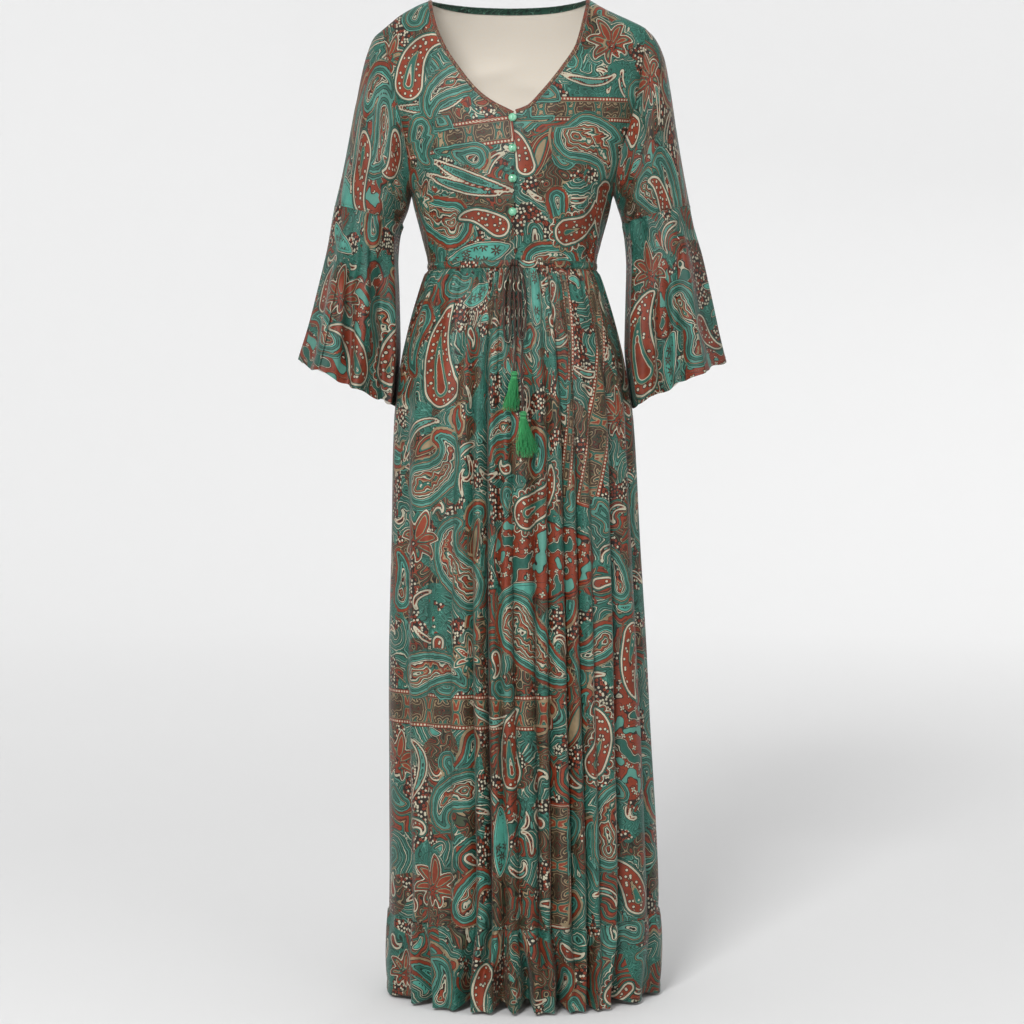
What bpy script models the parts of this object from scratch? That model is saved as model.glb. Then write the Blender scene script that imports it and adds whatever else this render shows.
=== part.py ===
"""Maxi dress, worn form, hollow: V neck, bell sleeves, drawstring waist, gathered skirt, hem ruffle.

Metres, +Z up.  The front faces -Y and the wearer's left is +X.  The origin is at the top of the
shoulders, midway between the sides of the neck, where a wearer carries the dress.
Each panel is a cloth wall: a grid of points on its outer surface and the same grid moved in.
"""
import math
from collections import namedtuple

import bmesh
import bpy
import numpy as np

for old in list(bpy.data.objects):
    bpy.data.objects.remove(old)

# ---------------------------------------------------------------- sizes
WALL = 0.0012            # cloth with its turnings
BINDING_WALL = 0.0018
CASING_WALL = 0.0015
GAP = 0.0003             # between neighbours at a seam
BINDING_WIDTH = 0.0050
BACK_BINDING_WIDTH = 0.0080
LENGTH = 1.385           # side of the neck to the hem at the sides

TORSO_CENTRE = 0.0010
SHOULDER_ROUND = 0.115   # height over which front and back close to the shoulder seam
WAIST_TOP = -0.3660      # upper edge of the casing
WAIST_BOTTOM = -0.3760
SKIRT_BOTTOM = -1.2720   # ruffle seam
HEM = -LENGTH
OVERLAP_EDGE = 0.0035    # centre-front edge of the upper, right front
UNDERLAP_EDGE = -0.0090  # edge of the left front, beneath it
UNDERLAP_DROP = 0.0021   # how far the left front sinks to pass beneath

SHIRR_HEIGHT = 0.075     # creases above the waist
SHIRR_DEPTH = 0.0009
GATHER_HEIGHT = 0.100    # gathers below the waist
GATHER_DEPTH = 0.0012
RUFFLE_GATHER_HEIGHT = 0.045
RUFFLE_PUFF = 0.0035
HEM_LIFT = 0.009         # the hem rises this much in its deep valleys

BUTTON_RADIUS = 0.0056
BUTTON_RISE = 0.0044
BUTTON_X = 0.0014
BUTTON_HEIGHTS = (-0.1745, -0.2163, -0.2570, -0.3013)

CORD_RADIUS = 0.0019
FRONT_COLUMNS = 16       # across each front half
BACK_NECK_COLUMNS = 12
BACK_SHOULDER_COLUMNS = 8

# ---------------------------------------------------------------- tables
Torso = namedtuple("Torso", "height half_width front back")
TORSO = (
    Torso(-0.3760, 0.1172, 0.0900, 0.0850),
    Torso(-0.3600, 0.1183, 0.0905, 0.0855),
    Torso(-0.3460, 0.1218, 0.0935, 0.0875),
    Torso(-0.3180, 0.1290, 0.1000, 0.0920),
    Torso(-0.2900, 0.1365, 0.1060, 0.0965),
    Torso(-0.2720, 0.1407, 0.1085, 0.0990),
    Torso(-0.2620, 0.1482, 0.1095, 0.1000),
    Torso(-0.2400, 0.1580, 0.1105, 0.1020),
    Torso(-0.2100, 0.1670, 0.1095, 0.1040),
    Torso(-0.1780, 0.1755, 0.1055, 0.1050),
    Torso(-0.1500, 0.1840, 0.1000, 0.1050),
    Torso(-0.1200, 0.1925, 0.0925, 0.1035),
    Torso(-0.1000, 0.1970, 0.0865, 0.1000),
    Torso(-0.0500, 0.2030, 0.0700, 0.0900),
    Torso(0.0000, 0.2050, 0.0600, 0.0780),
    Torso(0.0300, 0.2050, 0.0560, 0.0740),
)

Shoulder = namedtuple("Shoulder", "half_width right left")
SHOULDER = (
    Shoulder(0.000, 0.0300, 0.0300),
    Shoulder(0.050, 0.0250, 0.0250),
    Shoulder(0.085, 0.0110, 0.0105),
    Shoulder(0.108, 0.0000, -0.0015),
    Shoulder(0.127, -0.0070, -0.0125),
    Shoulder(0.144, -0.0155, -0.0205),
    Shoulder(0.158, -0.0240, -0.0265),
    Shoulder(0.172, -0.0355, -0.0330),
    Shoulder(0.180, -0.0420, -0.0370),
    Shoulder(0.190, -0.0500, -0.0435),
    Shoulder(0.200, -0.0600, -0.0540),
)

Armhole = namedtuple("Armhole", "height right left")
ARMHOLE = (
    Armhole(-0.2720, 0.1407, 0.1407),
    Armhole(-0.2500, 0.1415, 0.1425),
    Armhole(-0.2220, 0.1440, 0.1480),
    Armhole(-0.1780, 0.1510, 0.1610),
    Armhole(-0.1260, 0.1625, 0.1740),
    Armhole(-0.0850, 0.1720, 0.1810),
    Armhole(-0.0425, 0.1795, 0.1850),
)

# One row for each cross line of the bodice, from the waist up to the shoulder seam.
# The neck columns are the finished edge of the V; below the V the fronts end at their plackets.
Row = namedtuple("Row", "outer inner back corner right_x right_z left_x left_z")
ROWS = (
    Row(-0.3657, -0.3657, -0.3657, -0.3657, 0, 0, 0, 0),
    Row(-0.3540, -0.3540, -0.3540, -0.3540, 0, 0, 0, 0),
    Row(-0.3370, -0.3360, -0.3360, -0.3360, 0, 0, 0, 0),
    Row(-0.3140, -0.3100, -0.3100, -0.3110, 0, 0, 0, 0),
    Row(-0.2920, -0.2800, -0.2800, -0.2830, 0, 0, 0, 0),
    Row(-0.2720, -0.2500, -0.2500, -0.2550, 0, 0, 0, 0),
    Row(-0.2620, -0.2220, -0.2220, -0.2300, 0, 0, 0, 0),
    Row(-0.2400, -0.1960, -0.1950, -0.2040, 0, 0, 0, 0),
    Row(-0.2100, -0.1725, -0.1680, -0.1770, 0.0035, -0.1665, 0.0048, -0.1641),
    Row(-0.1780, 0, -0.1400, -0.1480, -0.0265, -0.1507, 0.0211, -0.1575),
    Row(-0.1480, 0, -0.1120, -0.1190, -0.0469, -0.1340, 0.0415, -0.1362),
    Row(-0.1200, 0, -0.0850, -0.0900, -0.0676, -0.1081, 0.0690, -0.1008),
    Row(-0.0950, 0, -0.0600, -0.0620, -0.0884, -0.0759, 0.0871, -0.0715),
    Row(-0.0720, 0, -0.0390, -0.0370, -0.1028, -0.0411, 0.0974, -0.0350),
    Row(-0.0540, 0, -0.0230, -0.0160, -0.1090, -0.0150, 0.1025, -0.0130),
    Row(-0.0425, 0, -0.0123, -0.0030, -0.1113, -0.0013, 0.1050, -0.0003),
)
V_ROW = 8
PIT_ROW = 5
TOP_ROW = 15

Sleeve = namedtuple("Sleeve", "outer_right outer_left outer_height inner_right inner_left "
                              "inner_height depth keep")
# keep: share of the armhole's own shape left in the ring
SLEEVE = (
    Sleeve(0.1795, 0.1850, -0.0425, 0.1397, 0.1417, -0.2720, 0.0600, 1.00),
    Sleeve(0.1925, 0.1975, -0.0545, 0.1404, 0.1435, -0.2762, 0.0625, 0.70),
    Sleeve(0.2025, 0.2105, -0.0800, 0.1421, 0.1449, -0.2822, 0.0655, 0.36),
    Sleeve(0.2130, 0.2200, -0.1250, 0.1441, 0.1470, -0.2884, 0.0670, 0.12),
    Sleeve(0.2235, 0.2285, -0.1800, 0.1466, 0.1495, -0.2954, 0.0650, 0.00),
    Sleeve(0.2345, 0.2380, -0.2366, 0.1494, 0.1515, -0.3024, 0.0610, 0.00),
    Sleeve(0.2464, 0.2471, -0.2856, 0.1529, 0.1536, -0.3108, 0.0560, 0.00),
)

Flounce = namedtuple("Flounce", "outer_right outer_left outer_height inner_right inner_left "
                                "inner_height depth fold")
FLOUNCE = (
    Flounce(0.2466, 0.2473, -0.2860, 0.1530, 0.1537, -0.3112, 0.0562, 0.00),
    Flounce(0.2527, 0.2520, -0.3150, 0.1580, 0.1568, -0.3290, 0.0580, 0.22),
    Flounce(0.2597, 0.2618, -0.3570, 0.1613, 0.1617, -0.3720, 0.0620, 0.50),
    Flounce(0.2695, 0.2709, -0.4046, 0.1612, 0.1622, -0.4210, 0.0675, 0.72),
    Flounce(0.2807, 0.2807, -0.4522, 0.1612, 0.1620, -0.4800, 0.0740, 0.88),
    Flounce(0.2947, 0.2919, -0.5026, 0.1675, 0.1730, -0.5640, 0.0820, 1.00),
)

# Angle round the cuff from its outer side over the front, and the depth of each valley at the hem.
Wave = namedtuple("Wave", "angle depth columns")
WAVES = (
    Wave(18, 0.0050, 4),
    Wave(66, 0.0120, 4),
    Wave(104, 0.0060, 4),
    Wave(146, 0.0085, 4),
    Wave(196, 0.0050, 4),
    Wave(238, 0.0095, 4),
    Wave(284, 0.0110, 4),
    Wave(328, 0.0065, 4),
)

Skirt = namedtuple("Skirt", "height half_width centre front back")
SKIRT = (
    Skirt(-0.3760, 0.1172, 0.0010, 0.0900, 0.0850),
    Skirt(-0.3878, 0.1225, 0.0010, 0.0955, 0.0905),
    Skirt(-0.4158, 0.1323, 0.0010, 0.1045, 0.0995),
    Skirt(-0.4438, 0.1414, 0.0010, 0.1120, 0.1070),
    Skirt(-0.4718, 0.1491, 0.0012, 0.1175, 0.1130),
    Skirt(-0.4998, 0.1554, 0.0014, 0.1215, 0.1175),
    Skirt(-0.5418, 0.1617, 0.0021, 0.1255, 0.1220),
    Skirt(-0.5838, 0.1666, 0.0028, 0.1280, 0.1250),
    Skirt(-0.7518, 0.1736, 0.0056, 0.1340, 0.1300),
    Skirt(-0.9198, 0.1806, 0.0084, 0.1400, 0.1350),
    Skirt(-1.0878, 0.1855, 0.0133, 0.1460, 0.1395),
    Skirt(-1.2720, 0.1900, 0.0172, 0.1520, 0.1445),
    Skirt(-1.3850, 0.1932, 0.0168, 0.1565, 0.1490),
)

# One row for each valley between two folds, in degrees round from the centre front to the wearer's
# left: its place high on the skirt and at the hem, its depth in the skirt and in the ruffle, and the
# number of columns from it to the next.
Fold = namedtuple("Fold", "high low skirt ruffle columns")
FRONT_FOLDS = (
    Fold(-90.0, -90.0, 0.0000, 0.0000, 6),
    Fold(-64.0, -58.0, 0.0055, 0.0090, 6),
    Fold(-44.0, -46.0, 0.0045, 0.0110, 6),
    Fold(-28.5, -34.0, 0.0050, 0.0240, 4),
    Fold(-20.5, -21.5, 0.0085, 0.0210, 4),
    Fold(-13.0, -14.8, 0.0130, 0.0230, 4),
    Fold(-7.0, -8.5, 0.0065, 0.0240, 4),
    Fold(-1.0, -2.0, 0.0080, 0.0170, 6),
    Fold(10.0, 6.6, 0.0090, 0.0230, 4),
    Fold(17.5, 12.0, 0.0085, 0.0150, 4),
    Fold(24.5, 21.8, 0.0095, 0.0130, 4),
    Fold(32.0, 28.4, 0.0095, 0.0170, 4),
    Fold(41.0, 35.0, 0.0055, 0.0110, 6),
    Fold(58.0, 46.0, 0.0135, 0.0160, 6),
    Fold(74.0, 71.0, 0.0050, 0.0090, 6),
    Fold(90.0, 90.0, 0.0000, 0.0000, 0),
)
BACK_FOLDS = (
    Fold(90.0, 90.0, 0.0000, 0.0000, 6),
    Fold(113.0, 109.0, 0.0060, 0.0120, 6),
    Fold(129.0, 126.0, 0.0110, 0.0190, 4),
    Fold(143.0, 140.0, 0.0080, 0.0150, 4),
    Fold(155.0, 153.0, 0.0095, 0.0220, 6),
    Fold(169.0, 168.0, 0.0120, 0.0180, 4),
    Fold(180.0, 179.0, 0.0070, 0.0230, 4),
    Fold(192.0, 192.0, 0.0105, 0.0150, 6),
    Fold(208.0, 207.0, 0.0090, 0.0210, 4),
    Fold(221.0, 222.0, 0.0075, 0.0160, 4),
    Fold(235.0, 238.0, 0.0115, 0.0180, 6),
    Fold(252.0, 255.0, 0.0060, 0.0100, 6),
    Fold(270.0, 270.0, 0.0000, 0.0000, 0),
)

# How far the folds have grown at each height.
Growth = namedtuple("Growth", "height amount")
GROWTH = (
    Growth(-0.3760, 0.00),
    Growth(-0.4100, 0.12),
    Growth(-0.4700, 0.38),
    Growth(-0.5800, 0.68),
    Growth(-0.7500, 0.90),
    Growth(-0.9500, 1.00),
    Growth(-1.2720, 1.10),
    Growth(-1.3900, 1.10),
)

SKIRT_ROWS = (-0.3763, -0.3860, -0.4040, -0.4320, -0.4740, -0.5450, -0.6900, -0.9300, -1.2720)
RUFFLE_ROWS = (0.0, 0.10, 0.32, 0.64, 1.0)

COLOURS = {
    "print_front": (0.050, 0.190, 0.165),
    "print_back": (0.050, 0.185, 0.160),
    "print_sleeve": (0.055, 0.200, 0.175),
    "print_flounce": (0.075, 0.170, 0.140),
    "print_skirt": (0.048, 0.175, 0.150),
    "print_ruffle": (0.070, 0.150, 0.120),
    "binding": (0.150, 0.050, 0.030),
    "binding_back": (0.020, 0.060, 0.045),
    "casing": (0.040, 0.110, 0.095),
    "button": (0.160, 0.560, 0.330),
    "cord": (0.080, 0.120, 0.080),
    "tassel": (0.030, 0.260, 0.080),
}


# ---------------------------------------------------------------- helpers
def curve(rows, key, value, at):
    """A smooth curve through two columns of a table, read at the places given."""
    x = np.array([getattr(r, key) for r in rows], float)
    y = np.array([getattr(r, value) for r in rows], float)
    return through(x, y, at)


def through(x, y, at):
    order = np.argsort(x)
    x, y = x[order], y[order]
    step = np.diff(x)
    slope = np.diff(y) / step
    turn = slope[:-1] * slope[1:]
    mean = np.where(turn > 0, 2 * turn / np.where(turn > 0, slope[:-1] + slope[1:], 1.0), 0.0)
    ends = np.concatenate(([slope[0]], mean, [slope[-1]]))
    at = np.asarray(at, float)
    i = np.clip(np.searchsorted(x, at) - 1, 0, len(step) - 1)
    t = (at - x[i]) / step[i]
    t = np.clip(t, -0.05, 1.05)
    a, b = y[i], y[i + 1]
    return ((2 * t ** 3 - 3 * t ** 2 + 1) * a + (t ** 3 - 2 * t ** 2 + t) * step[i] * ends[i]
            + (3 * t ** 2 - 2 * t ** 3) * b + (t ** 3 - t ** 2) * step[i] * ends[i + 1])


def ease(t):
    t = np.clip(t, 0.0, 1.0)
    return t * t * (3 - 2 * t)


def unit(v):
    return v / np.maximum(np.linalg.norm(v, axis=-1, keepdims=True), 1e-12)


def point(x, y, z):
    x, y, z = np.broadcast_arrays(x, y, z)
    return np.stack([x, y, z], axis=-1).astype(float)


def grid_normals(points, ring=False):
    """At each grid point the mean of the faces round it, turned to point out of the hollow."""
    closed = np.concatenate([points, points[:, :1]], axis=1) if ring else points
    face = unit(np.cross(closed[1:, 1:] - closed[:-1, :-1], closed[1:, :-1] - closed[:-1, 1:]))
    total = np.zeros_like(points)
    if ring:
        both = face + np.roll(face, 1, axis=1)
        total[:-1] += both
        total[1:] += both
    else:
        total[:-1, :-1] += face
        total[:-1, 1:] += face
        total[1:, :-1] += face
        total[1:, 1:] += face
    total = unit(total)
    middle = points.mean(axis=1, keepdims=True) if ring else np.array([TORSO_CENTRE, 0.0, 0.0])
    away = np.sum((points - middle) * total * np.array([1, 1, 0]), axis=-1)
    return total * (1 if np.median(away) > 0 else -1)


def material(name, roughness):
    made = bpy.data.materials.new(name)
    made.use_nodes = True
    shader = made.node_tree.nodes["Principled BSDF"]
    shader.inputs["Base Color"].default_value = (*COLOURS[name.split(".")[0]], 1.0)
    shader.inputs["Roughness"].default_value = roughness
    shader.inputs["Metallic"].default_value = 0.0
    return made


def solid(name, points, faces, colour, roughness=0.75, sharp=50):
    mesh = bpy.data.meshes.new(name)
    mesh.from_pydata([tuple(p) for p in points], [], faces)
    mesh.validate()
    shape = bmesh.new()
    shape.from_mesh(mesh)
    bmesh.ops.recalc_face_normals(shape, faces=shape.faces)
    shape.to_mesh(mesh)
    shape.free()
    mesh.shade_smooth()
    mesh.set_sharp_from_angle(angle=math.radians(sharp))
    made = bpy.data.objects.new(name, mesh)
    bpy.context.scene.collection.objects.link(made)
    made.data.materials.append(material(colour + "." + name, roughness))
    return made


def wall(name, outer, normals, thick, colour, ring=False, raise_by=0.0):
    """A closed cloth wall: rows and columns of outer points, and the same points moved in."""
    rows, cols = outer.shape[:2]
    top = outer + normals * raise_by
    inner = top - normals * thick
    points = np.concatenate([top.reshape(-1, 3), inner.reshape(-1, 3)])
    back = rows * cols

    def at(r, c):
        return r * cols + c % cols

    faces = []
    across = cols if ring else cols - 1
    for r in range(rows - 1):
        for c in range(across):
            a, b, d, e = at(r, c), at(r, c + 1), at(r + 1, c + 1), at(r + 1, c)
            if np.linalg.norm(points[a] - points[d]) <= np.linalg.norm(points[b] - points[e]):
                halves = ((a, b, d), (a, d, e))
            else:
                halves = ((a, b, e), (b, d, e))
            for i, j, k in halves:
                faces.append((i, j, k))
                faces.append((back + k, back + j, back + i))
    for c in range(across):
        for r, swap in ((0, True), (rows - 1, False)):
            a, b = at(r, c), at(r, c + 1)
            faces.append((b, a, back + a, back + b) if swap else (a, b, back + b, back + a))
    if not ring:
        for r in range(rows - 1):
            for c, swap in ((0, False), (cols - 1, True)):
                a, b = at(r, c), at(r + 1, c)
                faces.append((b, a, back + a, back + b) if swap else (a, b, back + b, back + a))
    return solid(name, points, faces, colour)


def flat(normals, row):
    """Turn one row's normals into the level plane, so that a seam's two edges stay parallel."""
    normals[row, :, 2] = 0.0
    normals[row] = unit(normals[row])


# ---------------------------------------------------------------- torso
def shoulder_height(x):
    half = np.abs(x - TORSO_CENTRE)
    return np.where(x < TORSO_CENTRE, curve(SHOULDER, "half_width", "right", half),
                    curve(SHOULDER, "half_width", "left", half))


def shoulder_normal(x):
    """Straight out of the shoulder seam, in the plane of the seam."""
    slope = (shoulder_height(x + 5e-4) - shoulder_height(x - 5e-4)) / 1e-3
    return unit(point(-slope, np.zeros_like(slope), np.ones_like(slope)))


def torso_y(x, z, side):
    """Depth of the torso form: side is -1 in front and +1 behind."""
    half = curve(TORSO, "height", "half_width", z)
    deep = curve(TORSO, "height", "front" if side < 0 else "back", z)
    across = np.clip((x - TORSO_CENTRE) / half, -1, 1)
    below = np.clip((shoulder_height(x) - z) / SHOULDER_ROUND, 0, 1)
    close = np.sqrt(np.maximum(1 - (1 - below) ** 2, 0))
    return side * (deep * np.sqrt(np.maximum(1 - across ** 2, 0)) * close + GAP / 2)


def row_value(name, v):
    """A column of ROWS read at a row number that may lie between two rows."""
    return through(np.arange(len(ROWS)), np.array([getattr(r, name) for r in ROWS]), v)


def v_edge(v, side):
    """Finished edge of the V neck; side is -1 for the right front and +1 for the left front."""
    name = "right" if side < 0 else "left"
    numbers = np.arange(V_ROW, TOP_ROW + 1)
    xs = np.array([getattr(ROWS[n], name + "_x") for n in numbers])
    zs = np.array([getattr(ROWS[n], name + "_z") for n in numbers])
    v = np.clip(v, V_ROW, TOP_ROW)
    return through(numbers, xs, v), through(numbers, zs, v)


def v_edge_out(v, side, distance):
    """The V edge moved away from the opening."""
    v = np.clip(v, V_ROW, TOP_ROW)
    low, high = np.maximum(v - 0.05, V_ROW), np.minimum(v + 0.05, TOP_ROW)
    x0, z0 = v_edge(low, side)
    x1, z1 = v_edge(high, side)
    x, z = v_edge(v, side)
    size = np.hypot(x1 - x0, z1 - z0)
    tx, tz = (x1 - x0) / size, (z1 - z0) / size
    nx, nz = side * tz, -side * tx
    x, z = x + nx * distance, z + nz * distance
    return x, z + ease(v - (TOP_ROW - 1)) * (shoulder_height(x) - z)


def front_inner(v, side):
    """Inner edge of a front's cloth: the placket below the V, then the edge behind the binding."""
    neck_x, neck_z = v_edge_out(v, side, BINDING_WIDTH + GAP)
    placket_x = OVERLAP_EDGE if side < 0 else UNDERLAP_EDGE
    heights = np.array([r.inner for r in ROWS[:V_ROW + 1]])
    if side > 0:
        heights = heights.copy()
        heights[V_ROW] = -0.1758
    low_z = through(np.arange(V_ROW + 1), heights, np.minimum(v, V_ROW))
    corner = through(np.arange(V_ROW, V_ROW + 2), np.array([heights[V_ROW], neck_at(side)[1]]), v)
    corner_x = through(np.arange(V_ROW, V_ROW + 2), np.array([placket_x, neck_at(side)[0]]), v)
    x = np.where(v <= V_ROW, placket_x, np.where(v < V_ROW + 1, corner_x, neck_x))
    z = np.where(v <= V_ROW, low_z, np.where(v < V_ROW + 1, corner, neck_z))
    return x, z


def neck_at(side):
    x, z = v_edge_out(np.array(V_ROW + 1.0), side, BINDING_WIDTH + GAP)
    return float(x), float(z)


def tip(side):
    """Outer end of the shoulder seam."""
    name = "right" if side < 0 else "left"
    x = TORSO_CENTRE + side * getattr(ARMHOLE[-1], name)
    return x, float(shoulder_height(np.array(x)))


def climb(v):
    """0 up to the V's point and 1 at the shoulder: how far the rows follow the top edge."""
    return ease((v - V_ROW) / (TOP_ROW - V_ROW)) ** 2


def outer_edge(v, side):
    """Side seam up to the armpit, then the armhole up to the shoulder tip."""
    name = "right" if side < 0 else "left"
    heights = np.array([r.outer for r in ROWS])
    arm = curve(ARMHOLE, "height", name, heights)
    z = row_value("outer", v) + climb(v) * (tip(side)[1] - ROWS[TOP_ROW].outer)
    half = curve(TORSO, "height", "half_width", z)
    arm_x = through(np.arange(PIT_ROW, TOP_ROW + 1), arm[PIT_ROW:], np.maximum(v, PIT_ROW))
    return TORSO_CENTRE + side * np.where(v <= PIT_ROW, half, arm_x), z


def angle_of(x, z):
    half = curve(TORSO, "height", "half_width", z)
    return np.arcsin(np.clip((x - TORSO_CENTRE) / half, -1, 1))


def shirring(phase, z):
    """Creases above the waist, deepest at the casing."""
    fade = np.clip(1 - (z - WAIST_TOP) / SHIRR_HEIGHT, 0, 1) ** 1.5
    return SHIRR_DEPTH * fade * np.cos(math.pi * phase)


def front_point(side):
    top_in = front_inner(np.array(float(TOP_ROW)), side)
    top_out = outer_edge(np.array(float(TOP_ROW)), side)

    def surface(u, v):
        x_in, z_in = front_inner(v, side)
        x_out, z_out = outer_edge(v, side)
        z = z_in + (z_out - z_in) * u
        turn = angle_of(x_in, z_in) + (angle_of(x_out, z_out) - angle_of(x_in, z_in)) * u
        line = top_in[1] + (top_out[1] - top_in[1]) * u
        top_turn = angle_of(*top_in) + (angle_of(*top_out) - angle_of(*top_in)) * u
        top_x = TORSO_CENTRE + curve(TORSO, "height", "half_width", line) * np.sin(top_turn)
        z = z + climb(v) * (shoulder_height(top_x) - line)
        x = TORSO_CENTRE + curve(TORSO, "height", "half_width", z) * np.sin(turn)
        z = np.where(v >= TOP_ROW, shoulder_height(x), np.minimum(z, shoulder_height(x)))
        y = torso_y(x, z, -1)
        if side > 0:
            y = y + UNDERLAP_DROP * (1 - ease((x - OVERLAP_EDGE - 0.001) / 0.007))
        calm = ease((side * (x - OVERLAP_EDGE) - 0.002) / 0.014)
        return point(x, y - shirring(FRONT_COLUMNS * u, z) * calm, z)

    return surface


def neck_corner(side):
    """Where the back's cloth meets the shoulder seam, clear of the binding."""
    return np.where(side < 0, -0.1113, 0.1050) + side * (BINDING_WIDTH + GAP)


def back_neck(q):
    """Finished edge of the back neck, q from -1 to 1 between the shoulder seams."""
    end = np.where(q < 0, -0.1113, 0.1050)
    x = end * np.abs(q)
    z = shoulder_height(end) * np.abs(q) ** 3 - 0.0040 * (1 - q ** 2)
    return x, np.minimum(z, shoulder_height(x))


def back_cloth_top(x):
    """Upper edge of the back's cloth below the binding, for a place across the neck."""
    end = neck_corner(np.where(x < 0, -1.0, 1.0))
    q = np.clip(x / end, 0, 1)
    return (shoulder_height(end) * q ** 3 - 0.0040 * (1 - q ** 2)
            - (BACK_BINDING_WIDTH + GAP) * (1 - q ** 4))


NECK_SHARE = BACK_NECK_COLUMNS / (BACK_NECK_COLUMNS + 2 * BACK_SHOULDER_COLUMNS)


def back_point(u, v):
    """Back bodice: u from -1 at the right side to 1 at the left."""
    side = np.where(u < 0, -1.0, 1.0)
    size = np.abs(u)
    q = np.clip(size / NECK_SHARE, 0, 1)
    s = np.clip((size - NECK_SHARE) / (1 - NECK_SHARE), 0, 1)
    rise = climb(v)
    q = q + (np.sin(q * math.pi / 2) - q) * rise

    def place(v):
        end = neck_corner(side)
        z_corner = np.minimum(row_value("corner", v), shoulder_height(end))
        low = side * curve(TORSO, "height", "half_width", z_corner) * math.sin(math.radians(34))
        x_corner = TORSO_CENTRE + low + (end - TORSO_CENTRE - low) * ease(v / TOP_ROW)
        x_right, z_out = outer_edge(v, -1)
        x_left, _ = outer_edge(v, 1)
        turn_corner = angle_of(x_corner, z_corner)
        turn_out = angle_of(np.where(side < 0, x_right, x_left), z_out)
        inside = size <= NECK_SHARE
        turn = np.where(inside, turn_corner * q, turn_corner + (turn_out - turn_corner) * s)
        z_back = row_value("back", v)
        z = np.where(inside, z_back + (z_corner - z_back) * ease(q), z_corner + (z_out - z_corner) * s)
        return turn, z, inside

    turn, z, inside = place(v)
    top_turn, top_z, _ = place(np.full_like(v, float(TOP_ROW)))
    top_x = TORSO_CENTRE + curve(TORSO, "height", "half_width", top_z) * np.sin(top_turn)
    edge = np.where(inside, back_cloth_top(top_x), shoulder_height(top_x))
    z = z + rise * (edge - top_z)
    x = TORSO_CENTRE + curve(TORSO, "height", "half_width", z) * np.sin(turn)
    seam = (v >= TOP_ROW) & (size >= NECK_SHARE)
    z = np.where(seam, shoulder_height(x), np.minimum(z, shoulder_height(x)))
    y = torso_y(x, z, 1)
    columns = BACK_NECK_COLUMNS / 2 + BACK_SHOULDER_COLUMNS
    return point(x, y + shirring(columns * (1 - size), z), z)


def seam_normals(points, u, v, shoulder, side_edge):
    """Along the shoulder and side seams both panels lean the same way."""
    normals = grid_normals(points)
    normals = np.where((shoulder & (v >= TOP_ROW))[..., None], shoulder_normal(points[..., 0]), normals)
    sideways = point(np.sign(points[..., 0]), np.zeros_like(u), np.zeros_like(u))
    normals = np.where((side_edge & (v <= PIT_ROW))[..., None], sideways, normals)
    flat(normals, 0)
    return normals


def bodice_grids():
    """Outer points and normals of the two fronts and the back, by side: -1, 1 and 0."""
    rows = np.arange(TOP_ROW + 1, dtype=float)
    grids = {}
    for side in (-1, 1):
        u, v = np.meshgrid(np.linspace(0, 1, FRONT_COLUMNS + 1), rows)
        outer = front_point(side)(u, v)
        grids[side] = outer, seam_normals(outer, u, v, u >= 0, u >= 1)
    count = BACK_NECK_COLUMNS + 2 * BACK_SHOULDER_COLUMNS
    u, v = np.meshgrid(np.linspace(-1, 1, count + 1), rows)
    outer = back_point(u, v)
    size = np.abs(u)
    grids[0] = outer, seam_normals(outer, u, v, size >= NECK_SHARE - 1e-6, size >= 1)
    return grids


def make_bodice(grids):
    for side, name, colour in ((-1, "front_bodice_right", "print_front"),
                               (1, "front_bodice_left", "print_front"),
                               (0, "back_bodice", "print_back")):
        outer, normals = grids[side]
        wall(name, outer, normals, WALL, colour)


def make_bindings():
    share = np.array([0.0, 1.0])
    for side, name in ((-1, "neck_binding_right"), (1, "neck_binding_left")):
        def surface(u, v, side=side):
            x, z = v_edge_out(v, side, BINDING_WIDTH * u)
            return point(x, torso_y(x, z, -1), z)
        u, v = np.meshgrid(share, np.arange(V_ROW, TOP_ROW + 1, dtype=float))
        outer = surface(u, v)
        normals = grid_normals(outer)
        normals[-1] = shoulder_normal(outer[-1, :, 0])
        wall(name, outer, normals, BINDING_WALL, "binding", raise_by=0.0003)

    def behind(u, q):
        x0, z0 = back_neck(q)
        x1 = neck_corner(np.where(q < 0, -1.0, 1.0)) * np.abs(q)
        z1 = back_cloth_top(x1) + GAP + 0.0001
        x1 = x1 - np.sign(q) * q ** 2 * GAP
        x, z = x0 + (x1 - x0) * u, z0 + (z1 - z0) * u
        z = np.minimum(z, shoulder_height(x))
        return point(x, torso_y(x, z, 1), z)
    half = BACK_NECK_COLUMNS // 2
    places = np.sin(np.arange(-half, half + 1) / half * math.pi / 2)
    u, q = np.meshgrid(share, places)
    outer = behind(u, q)
    normals = grid_normals(outer)
    for end in (0, -1):
        normals[end] = shoulder_normal(outer[end, :, 0])
    wall("neck_binding_back", outer, normals, BINDING_WALL, "binding_back", raise_by=0.0003)


# ---------------------------------------------------------------- sleeves
def armhole_point(side):
    """Round the armhole: 0 at the shoulder, then over the front to the armpit and up the back."""
    half = float(TOP_ROW - PIT_ROW)

    def place(c):
        front = c <= half
        v = np.where(front, TOP_ROW - c, PIT_ROW + (c - half))
        x, z = outer_edge(v, side)
        z = np.minimum(z, shoulder_height(x))
        y = np.where(front, torso_y(x, z, -1), torso_y(x, z, 1))
        ends = np.minimum(np.abs(c), np.minimum(np.abs(c - half), np.abs(c - 2 * half)))
        return point(x, np.where(ends < 1e-6, 0.0, y), z)
    return place


SLEEVE_COLUMNS = 2 * (TOP_ROW - PIT_ROW)


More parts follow.
